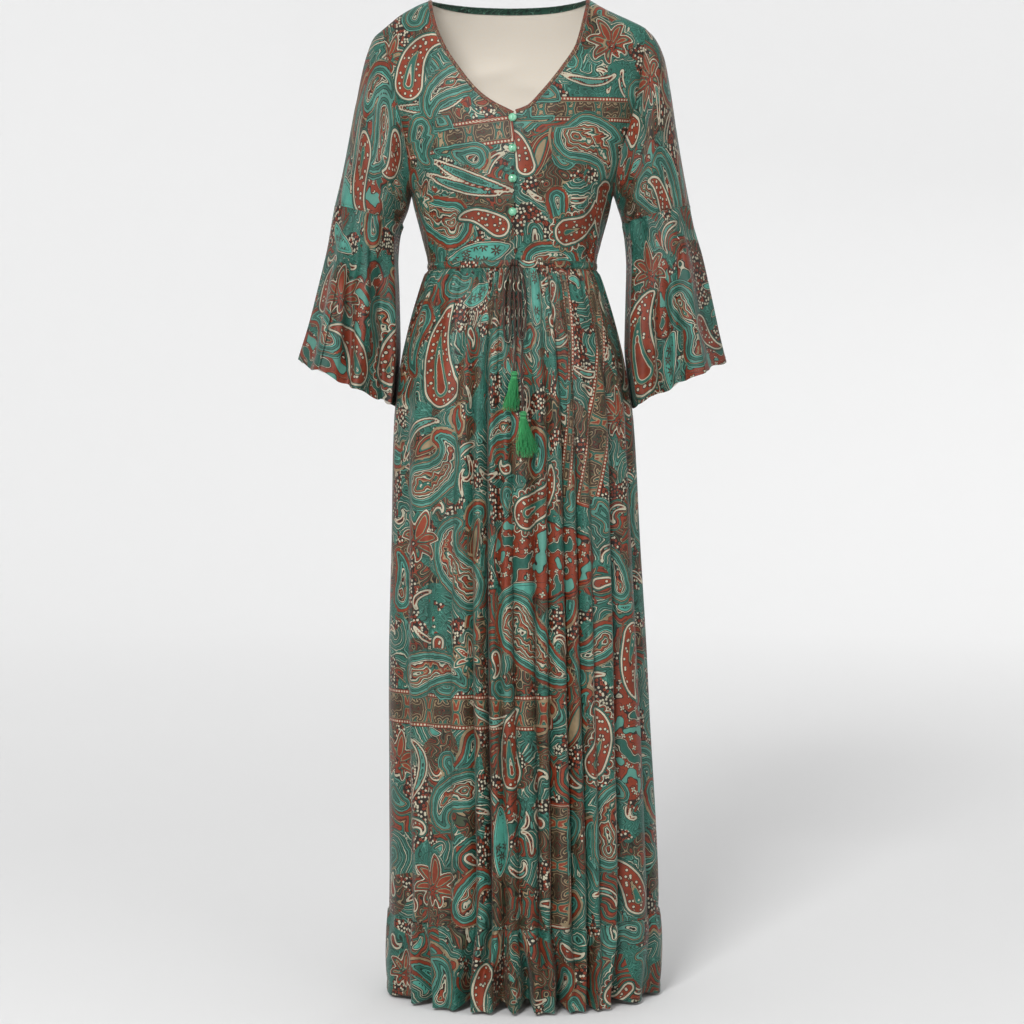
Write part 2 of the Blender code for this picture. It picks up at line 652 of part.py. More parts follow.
def ring_point(table, side, angle, s):
    """A slanted ring between an outer and an inner point; the angle starts outside, over the front."""
    name = "right" if side < 0 else "left"
    numbers = np.arange(len(table))

    def read(column):
        return through(numbers, np.array([getattr(r, column) for r in table]), s)
    out_x, out_z = read("outer_" + name), read("outer_height")
    in_x, in_z = read("inner_" + name), read("inner_height")
    mid_x, mid_z = (out_x + in_x) / 2, (out_z + in_z) / 2
    arm_x, arm_z = (out_x - in_x) / 2, (out_z - in_z) / 2
    depth = read("depth")
    x = TORSO_CENTRE + side * (mid_x + arm_x * np.cos(angle))
    z = mid_z + arm_z * np.cos(angle)
    return point(x, -depth * np.sin(angle), z)


def sleeve_point(side):
    hole = armhole_point(side)

    def surface(c, s):
        angle = 2 * math.pi * c / SLEEVE_COLUMNS
        ring = ring_point(SLEEVE, side, angle, s)
        keep = through(np.arange(len(SLEEVE)), np.array([r.keep for r in SLEEVE]), s)
        keep = np.clip(keep, 0, 1)[..., None]
        base = ring_point(SLEEVE, side, angle, np.zeros_like(s))
        return ring + (hole(c) - base) * keep
    return surface


def armhole_edge(grids, side):
    """The armhole's points, the bodice's normals there and the next points in, round from the shoulder."""
    front, front_normals = grids[side]
    behind, behind_normals = grids[0]
    edge, beside = (0, 1) if side < 0 else (-1, -2)
    down = list(range(TOP_ROW, PIT_ROW - 1, -1))
    up = list(range(PIT_ROW + 1, TOP_ROW))
    points = [front[v, -1] for v in down] + [behind[v, edge] for v in up]
    normals = [front_normals[v, -1] for v in down] + [behind_normals[v, edge] for v in up]
    inside = [front[v, -2] for v in down] + [behind[v, beside] for v in up]
    points, normals, inside = np.array(points), np.array(normals), np.array(inside)
    pit = TOP_ROW - PIT_ROW
    points[0, 1] = points[pit, 1] = 0.0
    inside[0], inside[pit] = front[TOP_ROW, -2], front[PIT_ROW - 1, -1]
    return points, normals, inside


def make_sleeves(grids):
    for side, name in ((-1, "sleeve_right"), (1, "sleeve_left")):
        c, s = np.meshgrid(np.arange(SLEEVE_COLUMNS, dtype=float),
                           np.arange(len(SLEEVE), dtype=float))
        outer = sleeve_point(side)(c, s)
        edge, own, inside = armhole_edge(grids, side)
        outer[0] = edge
        normals = grid_normals(outer, ring=True)
        # at the armhole the wall lies edge to edge with the bodice where the two run on smoothly,
        # and a gap above the bodice's face where they fold over each other
        along = unit(np.roll(edge, -1, axis=0) - np.roll(edge, 1, axis=0))
        beyond = edge - inside
        beyond = beyond - np.sum(beyond * along, axis=1, keepdims=True) * along
        beyond = unit(beyond - np.sum(beyond * own, axis=1, keepdims=True) * own)
        agree = np.sum(normals[0] * own, axis=1, keepdims=True)
        lean = ease((agree - 0.55) / 0.4)
        normals[0] = unit(own * lean + normals[0] * (1 - lean))
        step = GAP + 0.0001 + WALL * np.maximum(np.sum(normals[0] * beyond, axis=1, keepdims=True), 0)
        outer[0] = edge + beyond * step + own * GAP * 1.3 * (1 - lean)
        level_with_ring(normals, outer, len(SLEEVE) - 1)
        wall(name, outer, normals, WALL, "print_sleeve", ring=True)


def level_with_ring(normals, outer, row):
    """Turn one row's normals into the plane of its ring."""
    ring = outer[row]
    centre = ring.mean(axis=0)
    quarter = len(ring) // 4
    plane = unit(np.cross(ring[0] - centre, ring[quarter] - centre))
    lean = normals[row] @ plane
    normals[row] = unit(normals[row] - lean[:, None] * plane)


def fold_shape(t):
    """1 in a valley and 0 on the ridge halfway to the next one: round ridges, narrow valleys."""
    t = np.clip(t, 0.0, 0.5)
    return 0.65 * (1 - np.sin(math.pi * t)) + 0.35 * np.cos(math.pi * t) ** 2


def flounce_point(side):
    angles = np.array([w.angle for w in WAVES] + [WAVES[0].angle + 360.0])
    depths = np.array([w.depth for w in WAVES] + [WAVES[0].depth])
    columns = np.array([0] + list(np.cumsum([w.columns for w in WAVES])), float)

    def surface(c, s):
        total = columns[-1]
        c = np.mod(c, total)
        i = np.clip(np.searchsorted(columns, c, side="right") - 1, 0, len(WAVES) - 1)
        t = (c - columns[i]) / (columns[i + 1] - columns[i])
        angle = np.radians(angles[i] + (angles[i + 1] - angles[i]) * t)
        ring = ring_point(FLOUNCE, side, angle, s)
        e = 1e-4
        along = ring_point(FLOUNCE, side, angle + e, s) - ring_point(FLOUNCE, side, angle - e, s)
        low, high = np.clip(s - 0.01, 0, len(FLOUNCE) - 1), np.clip(s + 0.01, 0, len(FLOUNCE) - 1)
        down = ring_point(FLOUNCE, side, angle, high) - ring_point(FLOUNCE, side, angle, low)
        out = unit(np.cross(along, down)) * (1 if side < 0 else -1)
        grown = through(np.arange(len(FLOUNCE)), np.array([f.fold for f in FLOUNCE]), s)
        sink = (depths[i] * fold_shape(t) + depths[i + 1] * fold_shape(1 - t)) * grown
        gather = 0.0008 * np.clip(1 - s / 1.3, 0, 1) * np.cos(math.pi * c)
        return ring + out * (gather - sink)[..., None]
    return surface, int(columns[-1])


def make_flounces():
    for side, name in ((-1, "sleeve_flounce_right"), (1, "sleeve_flounce_left")):
        surface, count = flounce_point(side)
        c, s = np.meshgrid(np.arange(count, dtype=float), np.arange(len(FLOUNCE), dtype=float))
        outer = surface(c, s)
        normals = grid_normals(outer, ring=True)
        level_with_ring(normals, outer, 0)
        wall(name, outer, normals, WALL, "print_flounce", ring=True)


# ---------------------------------------------------------------- skirt
def skirt_section(z):
    return [curve(SKIRT, "height", name, z) for name in ("half_width", "centre", "front", "back")]


def fold_columns(folds):
    return np.array([0] + list(np.cumsum([f.columns for f in folds[:-1]])), float)


def skirt_like(folds, back, c, z, sink_of, extra, pinch):
    half, centre, front, behind = skirt_section(z)
    depth = behind if back else front
    edges = fold_columns(folds)
    i = np.clip(np.searchsorted(edges, c, side="right") - 1, 0, len(folds) - 2)
    t = (c - edges[i]) / (edges[i + 1] - edges[i])
    high = np.array([f.high for f in folds])
    low = np.array([f.low for f in folds])
    down = np.clip((z + 0.45) / (SKIRT_BOTTOM + 0.45), 0, 1.05)

    def angle_at(k):
        turn = high[k] + (low[k] - high[k]) * down
        step = np.degrees((GAP / 2 + 0.00002) / depth)
        first, last = (k == 0), (k == len(folds) - 1)
        return np.where(first, turn + step, np.where(last, turn - step, turn))
    start, stop = angle_at(i), angle_at(i + 1)
    squeezed = t - pinch * np.sin(2 * math.pi * t) / (2 * math.pi)
    angle = np.radians(start + (stop - start) * squeezed)
    x = centre + half * np.sin(angle)
    y = -depth * np.cos(angle)
    out = unit(point(depth * np.sin(angle), -half * np.cos(angle), np.zeros_like(x)))
    depths = sink_of(i), sink_of(i + 1)
    sink = depths[0] * fold_shape(t) + depths[1] * fold_shape(1 - t)
    return point(x, y, z) + out * (extra - sink)[..., None], t, i


def skirt_panel(folds, back):
    deep = np.array([f.skirt for f in folds])

    def surface(c, z):
        grown = curve(GROWTH, "height", "amount", z)
        fade = np.clip(1 - (-0.3760 - z) / GATHER_HEIGHT, 0, 1) ** 1.5
        gather = GATHER_DEPTH * fade * np.cos(math.pi * c)
        made, _, _ = skirt_like(folds, back, c, z, lambda k: deep[k] * grown, gather,
                                0.30 * ease((-0.50 - z) / 0.4))
        return made
    return surface


def ruffle_panel(folds, back):
    deep = np.array([f.skirt for f in folds])
    wide = np.array([f.ruffle for f in folds])

    def surface(c, share):
        edges = fold_columns(folds)
        i = np.clip(np.searchsorted(edges, c, side="right") - 1, 0, len(folds) - 2)
        t = (c - edges[i]) / (edges[i + 1] - edges[i])
        lift = (wide[i] * fold_shape(t) + wide[i + 1] * fold_shape(1 - t)) / 0.024 * HEM_LIFT
        z = SKIRT_BOTTOM - GAP + (HEM + lift - SKIRT_BOTTOM + GAP) * share
        open_by = ease(share) ** 0.8
        puff = RUFFLE_PUFF * np.sin(math.pi * np.clip(share * 1.15, 0, 1)) ** 0.7
        fade = np.clip(1 - share * (SKIRT_BOTTOM - HEM) / RUFFLE_GATHER_HEIGHT, 0, 1) ** 1.3
        gather = GATHER_DEPTH * fade * np.cos(math.pi * c)
        made, _, _ = skirt_like(folds, back, c, z,
                                lambda k: deep[k] * 1.1 + (wide[k] - deep[k] * 1.1) * open_by,
                                gather + puff, 0.30 + 0.30 * open_by)
        return made
    return surface


def make_skirt():
    for folds, back, end in ((FRONT_FOLDS, False, "front"), (BACK_FOLDS, True, "back")):
        columns = np.arange(int(fold_columns(folds)[-1]) + 1, dtype=float)
        c, z = np.meshgrid(columns, np.array(SKIRT_ROWS))
        outer = skirt_panel(folds, back)(c, z)
        normals = grid_normals(outer)
        flat(normals, 0)
        flat(normals, len(SKIRT_ROWS) - 1)
        side_seams(normals)
        wall("skirt_" + end, outer, normals, WALL, "print_skirt")
        c, share = np.meshgrid(columns, np.array(RUFFLE_ROWS))
        outer = ruffle_panel(folds, back)(c, share)
        normals = grid_normals(outer)
        flat(normals, 0)
        side_seams(normals)
        wall("hem_ruffle_" + end, outer, normals, WALL, "print_ruffle")


def side_seams(normals):
    """At a side seam the wall's edge is square to the seam."""
    normals[:, 0, 1] = 0.0
    normals[:, -1, 1] = 0.0
    normals[:, 0] = unit(normals[:, 0])
    normals[:, -1] = unit(normals[:, -1])


def make_casing():
    """The drawstring casing: a narrow shirred ring, its creases in line with the bodice's."""
    front = np.linspace(-90, 90, 2 * FRONT_COLUMNS + 1)[:-1]
    behind = np.linspace(90, 270, BACK_NECK_COLUMNS + 2 * BACK_SHOULDER_COLUMNS + 1)[:-1]
    degrees = np.concatenate([front, behind])
    angle, z = np.meshgrid(np.radians(degrees), np.array([WAIST_TOP, WAIST_BOTTOM]))
    count = np.arange(len(degrees))[None, :]
    half = curve(TORSO, "height", "half_width", z)
    depth = np.where(np.cos(angle) > 0, curve(TORSO, "height", "front", z),
                     curve(TORSO, "height", "back", z))
    normals = unit(point(depth * np.sin(angle), -half * np.cos(angle), np.zeros_like(z)))
    outer = point(TORSO_CENTRE + half * np.sin(angle), -depth * np.cos(angle), z)
    crease = 0.0007 * np.cos(math.pi * count) + 0.0003
    wall("waist_casing", outer + normals * crease[..., None], normals, CASING_WALL, "casing", ring=True)


# ---------------------------------------------------------------- buttons
def make_buttons():
    profile = [(0.0, 0.0)]
    for k in range(4):
        turn = math.radians(30 * k)
        profile.append((BUTTON_RADIUS * math.cos(turn) ** 0.8 if k < 3 else 0.0,
                        0.0008 + (BUTTON_RISE - 0.0008) * math.sin(turn)))
    profile.insert(1, (BUTTON_RADIUS * 0.86, 0.0))
    sides = 12
    for number, height in enumerate(BUTTON_HEIGHTS, 1):
        seat = float(torso_y(np.array(BUTTON_X), np.array(height), -1)) - GAP - 0.0004
        points = [(BUTTON_X, seat, height)]
        rings = profile[1:-1]
        for radius, rise in rings:
            for k in range(sides):
                turn = 2 * math.pi * k / sides
                points.append((BUTTON_X + radius * math.cos(turn), seat - rise,
                               height + radius * math.sin(turn)))
        points.append((BUTTON_X, seat - profile[-1][1], height))
        faces = []
        for k in range(sides):
            n = (k + 1) % sides
            faces.append((0, 1 + n, 1 + k))
            for r in range(len(rings) - 1):
                a, b = 1 + r * sides, 1 + (r + 1) * sides
                faces.append((a + k, a + n, b + n, b + k))
            last = 1 + (len(rings) - 1) * sides
            faces.append((last + k, last + n, len(points) - 1))
        solid("button_%d" % number, points, faces, "button", roughness=0.25, sharp=60)


# ---------------------------------------------------------------- drawstring
def skirt_front_y(x, z):
    """Outermost cloth of the skirt's or waist's front at a place."""
    half, centre, front, _ = skirt_section(np.minimum(z, -0.3760))
    across = np.clip((x - centre) / half, -1, 1)
    return -front * np.sqrt(1 - across ** 2)


Strand = namedtuple("Strand", "x z off")
KNOT = (0.0034, -0.3700)
KNOT_RADIUS = (0.0085, 0.0046, 0.0060)
KNOT_OFF = 0.0061        # of its centre from the cloth, so that it rests on the casing
FRONT_LAYER = 0.0078     # cords that pass over others
BACK_LAYER = 0.0033      # cords that lie on the cloth

# Where each cord leaves the knot: degrees from straight down towards the wearer's left, how far
# forward of the knot's middle (1 is its front), and its distance from the knot's surface.
Start = namedtuple("Start", "turn forward clear")
STARTS = {
    "drawstring_loop_right": (Start(-52, 0.45, 0.0005), Start(-14, 0.60, 0.0005)),
    "drawstring_loop_left": (Start(28, 0.60, 0.0009), Start(56, 0.05, 0.0012)),
    "drawstring_end_right": (Start(-30, -0.30, 0.0014),),
    "drawstring_end_left": (Start(14, -0.30, 0.0012),),
}
# Each cord's way down from the knot; off is its distance from the cloth behind it.
STRANDS = {
    "drawstring_loop_right": (
        Strand(-0.0078, -0.3900, FRONT_LAYER), Strand(-0.0096, -0.4080, 0.0070),
        Strand(-0.0102, -0.4320, 0.0050), Strand(-0.0100, -0.4560, 0.0036),
        Strand(-0.0086, -0.4740, BACK_LAYER), Strand(-0.0054, -0.4825, BACK_LAYER),
        Strand(-0.0022, -0.4745, BACK_LAYER), Strand(-0.0016, -0.4560, 0.0036),
        Strand(-0.0024, -0.4320, 0.0050), Strand(-0.0018, -0.4080, 0.0070),
        Strand(0.0004, -0.3900, FRONT_LAYER)),
    "drawstring_loop_left": (
        Strand(0.0086, -0.3900, FRONT_LAYER), Strand(0.0094, -0.4080, FRONT_LAYER),
        Strand(0.0096, -0.4330, FRONT_LAYER), Strand(0.0100, -0.4540, FRONT_LAYER),
        Strand(0.0112, -0.4700, FRONT_LAYER), Strand(0.0142, -0.4780, FRONT_LAYER),
        Strand(0.0172, -0.4710, FRONT_LAYER), Strand(0.0188, -0.4540, 0.0068),
        Strand(0.0190, -0.4280, 0.0054), Strand(0.0178, -0.4080, 0.0048),
        Strand(0.0148, -0.3910, 0.0052)),
    "drawstring_end_right": (
        Strand(0.0018, -0.3920, BACK_LAYER), Strand(0.0036, -0.4120, BACK_LAYER),
        Strand(0.0046, -0.4400, 0.0030), Strand(0.0050, -0.4680, 0.0028),
        Strand(0.0046, -0.4880, 0.0038), Strand(0.0042, -0.5030, 0.0056),
        Strand(0.0036, -0.5168, 0.0064)),
    "drawstring_end_left": (
        Strand(0.0086, -0.3920, BACK_LAYER), Strand(0.0122, -0.4120, BACK_LAYER),
        Strand(0.0138, -0.4400, 0.0030), Strand(0.0140, -0.4800, 0.0028),
        Strand(0.0142, -0.5200, 0.0036), Strand(0.0150, -0.5480, 0.0058),
        Strand(0.0156, -0.5706, 0.0066)),
}
STRAND_POINTS = {"drawstring_loop_right": 20, "drawstring_loop_left": 20,
                 "drawstring_end_right": 13, "drawstring_end_left": 18}


def knot_centre():
    return np.array([KNOT[0], float(skirt_front_y(np.array(KNOT[0]), np.array(KNOT[1]))) - KNOT_OFF,
                     KNOT[1]])


def leave_knot(start):
    """The cord's first two points, square to the knot's surface and no nearer the cloth."""
    turn = math.radians(start.turn)
    level = math.sqrt(1 - start.forward ** 2)
    way = np.array([math.sin(turn) * level, -start.forward, -math.cos(turn) * level])
    radius = np.array(KNOT_RADIUS)
    normal = unit(way / radius)
    normal[1] = min(normal[1], 0.0)
    normal = unit(normal)
    first = knot_centre() + way * radius + normal * start.clear
    return [first, first + normal * 0.0020]


def strand_path(name):
    """A smooth route from the knot through the cord's places, each held off the cloth behind it."""
    places = [(s.x, float(skirt_front_y(np.array(s.x), np.array(s.z))) - s.off, s.z)
              for s in STRANDS[name]]
    starts = STARTS[name]
    places = leave_knot(starts[0]) + places
    if len(starts) > 1:
        places = places + leave_knot(starts[1])[::-1]
    places = np.array(places)
    count = STRAND_POINTS[name]
    step = np.linspace(0, len(places) - 1, 12 * len(places))
    fine = np.stack([catmull(places[:, k], step) for k in range(3)], axis=1)
    run = np.concatenate([[0], np.cumsum(np.linalg.norm(np.diff(fine, axis=0), axis=1))])
    at = np.linspace(0, run[-1], count)
    return np.stack([np.interp(at, run, fine[:, k]) for k in range(3)], axis=1)


def catmull(values, at):
    padded = np.concatenate([[2 * values[0] - values[1]], values, [2 * values[-1] - values[-2]]])
    i = np.clip(at.astype(int), 0, len(values) - 2)
    t = at - i
    a, b, c, d = padded[i], padded[i + 1], padded[i + 2], padded[i + 3]
    return 0.5 * (2 * b + (c - a) * t + (2 * a - 5 * b + 4 * c - d) * t ** 2
                  + (3 * b - a - 3 * c + d) * t ** 3)


def make_drawstring():
    for name in STRANDS:
        path = strand_path(name)
        line = bpy.data.curves.new(name, "CURVE")
        line.dimensions = "3D"
        line.bevel_depth = CORD_RADIUS
        line.bevel_resolution = 2
        line.use_fill_caps = True
        spline = line.splines.new("POLY")
        spline.points.add(len(path) - 1)
        for spot, place in zip(spline.points, path):
            spot.co = (*place, 1.0)
        made = bpy.data.objects.new(name, line)
        bpy.context.scene.collection.objects.link(made)
        line.materials.append(material("cord." + name, 0.8))
    shape = bmesh.new()
    bmesh.ops.create_uvsphere(shape, u_segments=12, v_segments=7, radius=1.0)
    centre = knot_centre()
    points = [tuple(centre + np.array(spot.co) * KNOT_RADIUS) for spot in shape.verts]
    faces = [[s.index for s in f.verts] for f in shape.faces]
    shape.free()
    solid("drawstring_knot", points, faces, "cord", sharp=80)


Tassel = namedtuple("Tassel", "cord length lean spread head")
TASSELS = {
    "tassel_right": Tassel("drawstring_end_right", 0.0560, -0.10, 0.0080, 0.0052),
    "tassel_left": Tassel("drawstring_end_left", 0.0640, 0.12, 0.0130, 0.0054),
}
STRAND_GRID = 5


def make_tassels():
    """A domed head whose underside is cut in cells, and a strand drawn down from each cell."""
    for number, (name, size) in enumerate(TASSELS.items()):
        noise = np.random.default_rng(7 + number)
        n = STRAND_GRID
        head = size.head
        top = strand_path(size.cord)[-1] - np.array([0.0, 0.0, GAP + 0.0001])
        low = top[2] - size.length
        behind = skirt_front_y(np.array([top[0]] * 2), np.array([top[2], low]))
        slope = (behind[1] - behind[0]) / size.length
        shape = bmesh.new()
        cells = {}
        for i in range(n + 1):
            for j in range(n + 1):
                a, b = 2 * i / n - 1, 2 * j / n - 1
                x = a * math.sqrt(1 - b * b / 2)
                y = b * math.sqrt(1 - a * a / 2)
                cells[i, j] = shape.verts.new((x * head * 0.92, y * head * 0.92, -1.5 * head))
        border = ([(i, 0) for i in range(n)] + [(n, j) for j in range(n)]
                  + [(n - i, n) for i in range(n)] + [(0, n - j) for j in range(n)])
        under = [shape.faces.new((cells[i, j], cells[i, j + 1], cells[i + 1, j + 1], cells[i + 1, j]))
                 for i in range(n) for j in range(n)]
        rings = [[cells[k] for k in border]]
        for radius, height in ((0.80, -1.15), (0.98, -0.62), (0.66, -0.14)):
            rings.append([shape.verts.new((v.co.x / 0.92 * radius, v.co.y / 0.92 * radius, height * head))
                          for v in rings[0]])
        tip = shape.verts.new((0, 0, 0))
        count = len(border)
        for r in range(len(rings) - 1):
            for k in range(count):
                m = (k + 1) % count
                shape.faces.new((rings[r][k], rings[r][m], rings[r + 1][m], rings[r + 1][k]))
        for k in range(count):
            shape.faces.new((rings[-1][k], rings[-1][(k + 1) % count], tip))
        bmesh.ops.recalc_face_normals(shape, faces=shape.faces)
        drop = size.length - 1.5 * head
        for step in (1, 2):
            made = bmesh.ops.extrude_discrete_faces(shape, faces=under)["faces"]
            for face in made:
                centre = face.calc_center_median()
                if step == 1:
                    place = (centre.x, centre.y)
                    way = (place[0] / head, place[1] / head)
                    reach = drop * 0.42
                    swing = 0.45
                else:
                    way = (centre.x / (head + 0.45 * size.spread), centre.y / (head * 1.15))
                    reach = drop * (0.58 + 0.06 * noise.uniform(-1, 1))
                    swing = 0.55
                shift_x = way[0] * size.spread * swing + size.lean * reach
                shift_y = way[1] * head * 0.12 + slope * reach
                for spot in face.verts:
                    if step == 1:
                        spot.co = centre + (spot.co - centre) * 0.72
                    spot.co.x += shift_x
                    spot.co.y += shift_y
                    spot.co.z -= reach
            under = made
        bmesh.ops.translate(shape, verts=shape.verts, vec=tuple(top))
        shape.verts.index_update()
        points = [tuple(v.co) for v in shape.verts]
        faces = [[v.index for v in f.verts] for f in shape.faces]
        shape.free()
        solid(name, points, faces, "tassel", roughness=0.7, sharp=40)


bodice = bodice_grids()
make_bodice(bodice)
make_bindings()
make_sleeves(bodice)
make_flounces()
make_casing()
make_skirt()
make_buttons()
make_drawstring()
make_tassels()
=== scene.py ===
"""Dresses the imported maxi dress: printed viscose with its gathers and creases, bindings, buttons,
stitching, drawstring and tassels, in a plain pale studio.

The panels' surfaces are worked out as the solids' are, from the same named sizes, but finer.
"""
import math
from collections import namedtuple

import bpy
import numpy as np
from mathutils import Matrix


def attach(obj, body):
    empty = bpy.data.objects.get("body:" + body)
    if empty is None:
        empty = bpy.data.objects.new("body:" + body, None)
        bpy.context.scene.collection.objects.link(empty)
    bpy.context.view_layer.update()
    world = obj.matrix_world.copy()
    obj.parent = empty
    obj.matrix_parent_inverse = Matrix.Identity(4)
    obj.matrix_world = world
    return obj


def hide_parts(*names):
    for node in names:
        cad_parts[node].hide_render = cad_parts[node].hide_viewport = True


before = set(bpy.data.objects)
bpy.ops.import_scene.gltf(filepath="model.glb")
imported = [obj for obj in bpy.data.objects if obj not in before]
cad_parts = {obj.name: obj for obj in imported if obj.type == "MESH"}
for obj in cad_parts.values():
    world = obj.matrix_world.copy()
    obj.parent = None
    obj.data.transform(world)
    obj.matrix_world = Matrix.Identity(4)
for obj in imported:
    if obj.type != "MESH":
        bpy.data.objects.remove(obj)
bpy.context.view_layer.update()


def table(columns, *rows):
    """Rows of numbers under named columns."""
    Row = namedtuple("Row", columns)
    return [Row(*row) for row in rows]


# ---------------------------------------------------------------- sizes of the solids, in metres
GAP = 0.0003             # between neighbours at a seam
SEAM_CLEAR = 0.00002     # more than half the gap, on each side of the skirt's side seams
CLEAR = 0.0001           # more than the gap, where two thin cloths meet
BINDING_WIDTH = 0.0050
BACK_BINDING_WIDTH = 0.0080
TORSO_CENTRE = 0.0010
SHOULDER_ROUND = 0.115   # height over which front and back close to the shoulder seam
WAIST_TOP = -0.3660      # upper edge of the casing
WAIST_BOTTOM = -0.3760
SKIRT_BOTTOM = -1.2720   # ruffle seam
HEM = -1.385             # at the sides, below the side of the neck
NECK_RIGHT = -0.1113     # ends of the neckline at the shoulder seams
NECK_LEFT = 0.1050
BACK_NECK_DIP = 0.0040
BACK_CORNER_TURN = math.radians(34)     # round the waist, below the neck's corners
OVERLAP_EDGE = 0.0035    # centre-front edge of the upper, right front
UNDERLAP_EDGE = -0.0090  # edge of the left front, beneath it
UNDERLAP_TOP = -0.1758   # where that edge ends, below the V
UNDERLAP_DROP = 0.0021   # how far the left front sinks to pass beneath
UNDERLAP_START = 0.001   # beyond the overlap's edge, where it starts to rise again
UNDERLAP_RISE = 0.007    # and the width over which it does
PLACKET_START = 0.002    # beyond that edge, where the shirring starts
PLACKET_CALM = 0.014     # and the width over which it grows
SHIRR_HEIGHT = 0.075     # creases above the waist
SHIRR_DEPTH = 0.0009
GATHER_HEIGHT = 0.100    # gathers below the waist
GATHER_DEPTH = 0.0012
CUFF_GATHER_DEPTH = 0.0008
CUFF_GATHER_RINGS = 1.3  # of the flounce that its gathers reach down
RUFFLE_GATHER_HEIGHT = 0.045
RUFFLE_PUFF = 0.0035
HEM_LIFT = 0.009         # the hem rises this much in a valley as deep as DEEP_VALLEY
DEEP_VALLEY = 0.024
FOLD_TURN_TOP = -0.45    # from here down the folds move to their places at the ruffle's seam
PINCH = 0.30             # how much the cloth crowds at the valleys
PINCH_TOP = -0.50        # and from which height it grows to that
PINCH_HEIGHT = 0.4
RUFFLE_DEEPER = 1.1      # at its seam, than the skirt's folds
TUBE_SHARE = 0.95        # how far the hem's ridges narrow to slim tubes
BUTTON_RADIUS = 0.0056
BUTTON_RISE = 0.0044
BUTTON_X = 0.0014
BUTTON_HEIGHTS = (-0.1745, -0.2163, -0.2570, -0.3013)
CORD_RADIUS = 0.0019
FRONT_COLUMNS = 16       # across each front half
BACK_NECK_COLUMNS = 12
BACK_SHOULDER_COLUMNS = 8
BACK_COLUMNS = BACK_NECK_COLUMNS + 2 * BACK_SHOULDER_COLUMNS
NECK_SHARE = BACK_NECK_COLUMNS / BACK_COLUMNS
V_ROW = 8                # rows of the bodice: the V's point, the armpit and the shoulder seam
PIT_ROW = 5
TOP_ROW = 15
SLEEVE_COLUMNS = 2 * (TOP_ROW - PIT_ROW)
SIDES = ((-1, "right"), (1, "left"))      # the wearer's right is where x is negative

TORSO = table(
    "height half_width front back",
    (-0.3760, 0.1172, 0.0900, 0.0850), (-0.3600, 0.1183, 0.0905, 0.0855),
    (-0.3460, 0.1218, 0.0935, 0.0875), (-0.3180, 0.1290, 0.1000, 0.0920),
    (-0.2900, 0.1365, 0.1060, 0.0965), (-0.2720, 0.1407, 0.1085, 0.0990),
    (-0.2620, 0.1482, 0.1095, 0.1000), (-0.2400, 0.1580, 0.1105, 0.1020),
    (-0.2100, 0.1670, 0.1095, 0.1040), (-0.1780, 0.1755, 0.1055, 0.1050),
    (-0.1500, 0.1840, 0.1000, 0.1050), (-0.1200, 0.1925, 0.0925, 0.1035),
    (-0.1000, 0.1970, 0.0865, 0.1000), (-0.0500, 0.2030, 0.0700, 0.0900),
    (0.0000, 0.2050, 0.0600, 0.0780), (0.0300, 0.2050, 0.0560, 0.0740),
)
SHOULDER = table(
    "half_width right left",
    (0.000, 0.0300, 0.0300), (0.050, 0.0250, 0.0250), (0.085, 0.0110, 0.0105),
    (0.108, 0.0000, -0.0015), (0.127, -0.0070, -0.0125), (0.144, -0.0155, -0.0205),
    (0.158, -0.0240, -0.0265), (0.172, -0.0355, -0.0330), (0.180, -0.0420, -0.0370),
    (0.190, -0.0500, -0.0435), (0.200, -0.0600, -0.0540),
)
ARMHOLE = table(
    "height right left",
    (-0.2720, 0.1407, 0.1407), (-0.2500, 0.1415, 0.1425), (-0.2220, 0.1440, 0.1480),
    (-0.1780, 0.1510, 0.1610), (-0.1260, 0.1625, 0.1740), (-0.0850, 0.1720, 0.1810),
    (-0.0425, 0.1795, 0.1850),
)
# One row for each cross line of the bodice, from the waist up to the shoulder seam.
ROWS = table(
    "outer back corner",
    (-0.3657, -0.3657, -0.3657), (-0.3540, -0.3540, -0.3540), (-0.3370, -0.3360, -0.3360),
    (-0.3140, -0.3100, -0.3110), (-0.2920, -0.2800, -0.2830), (-0.2720, -0.2500, -0.2550),
    (-0.2620, -0.2220, -0.2300), (-0.2400, -0.1950, -0.2040), (-0.2100, -0.1680, -0.1770),
    (-0.1780, -0.1400, -0.1480), (-0.1480, -0.1120, -0.1190), (-0.1200, -0.0850, -0.0900),
    (-0.0950, -0.0600, -0.0620), (-0.0720, -0.0390, -0.0370), (-0.0540, -0.0230, -0.0160),
    (-0.0425, -0.0123, -0.0030),
)
# The fronts' inner ends of the rows up to the V's point, and the finished edge of the V from there.
INNER_HEIGHTS = (-0.3657, -0.3540, -0.3360, -0.3100, -0.2800, -0.2500, -0.2220, -0.1960, -0.1725)
V_EDGE = table(
    "right_x right_z left_x left_z",
    (0.0035, -0.1665, 0.0048, -0.1641), (-0.0265, -0.1507, 0.0211, -0.1575),
    (-0.0469, -0.1340, 0.0415, -0.1362), (-0.0676, -0.1081, 0.0690, -0.1008),
    (-0.0884, -0.0759, 0.0871, -0.0715), (-0.1028, -0.0411, 0.0974, -0.0350),
    (-0.1090, -0.0150, 0.1025, -0.0130), (-0.1113, -0.0013, 0.1050, -0.0003),
)
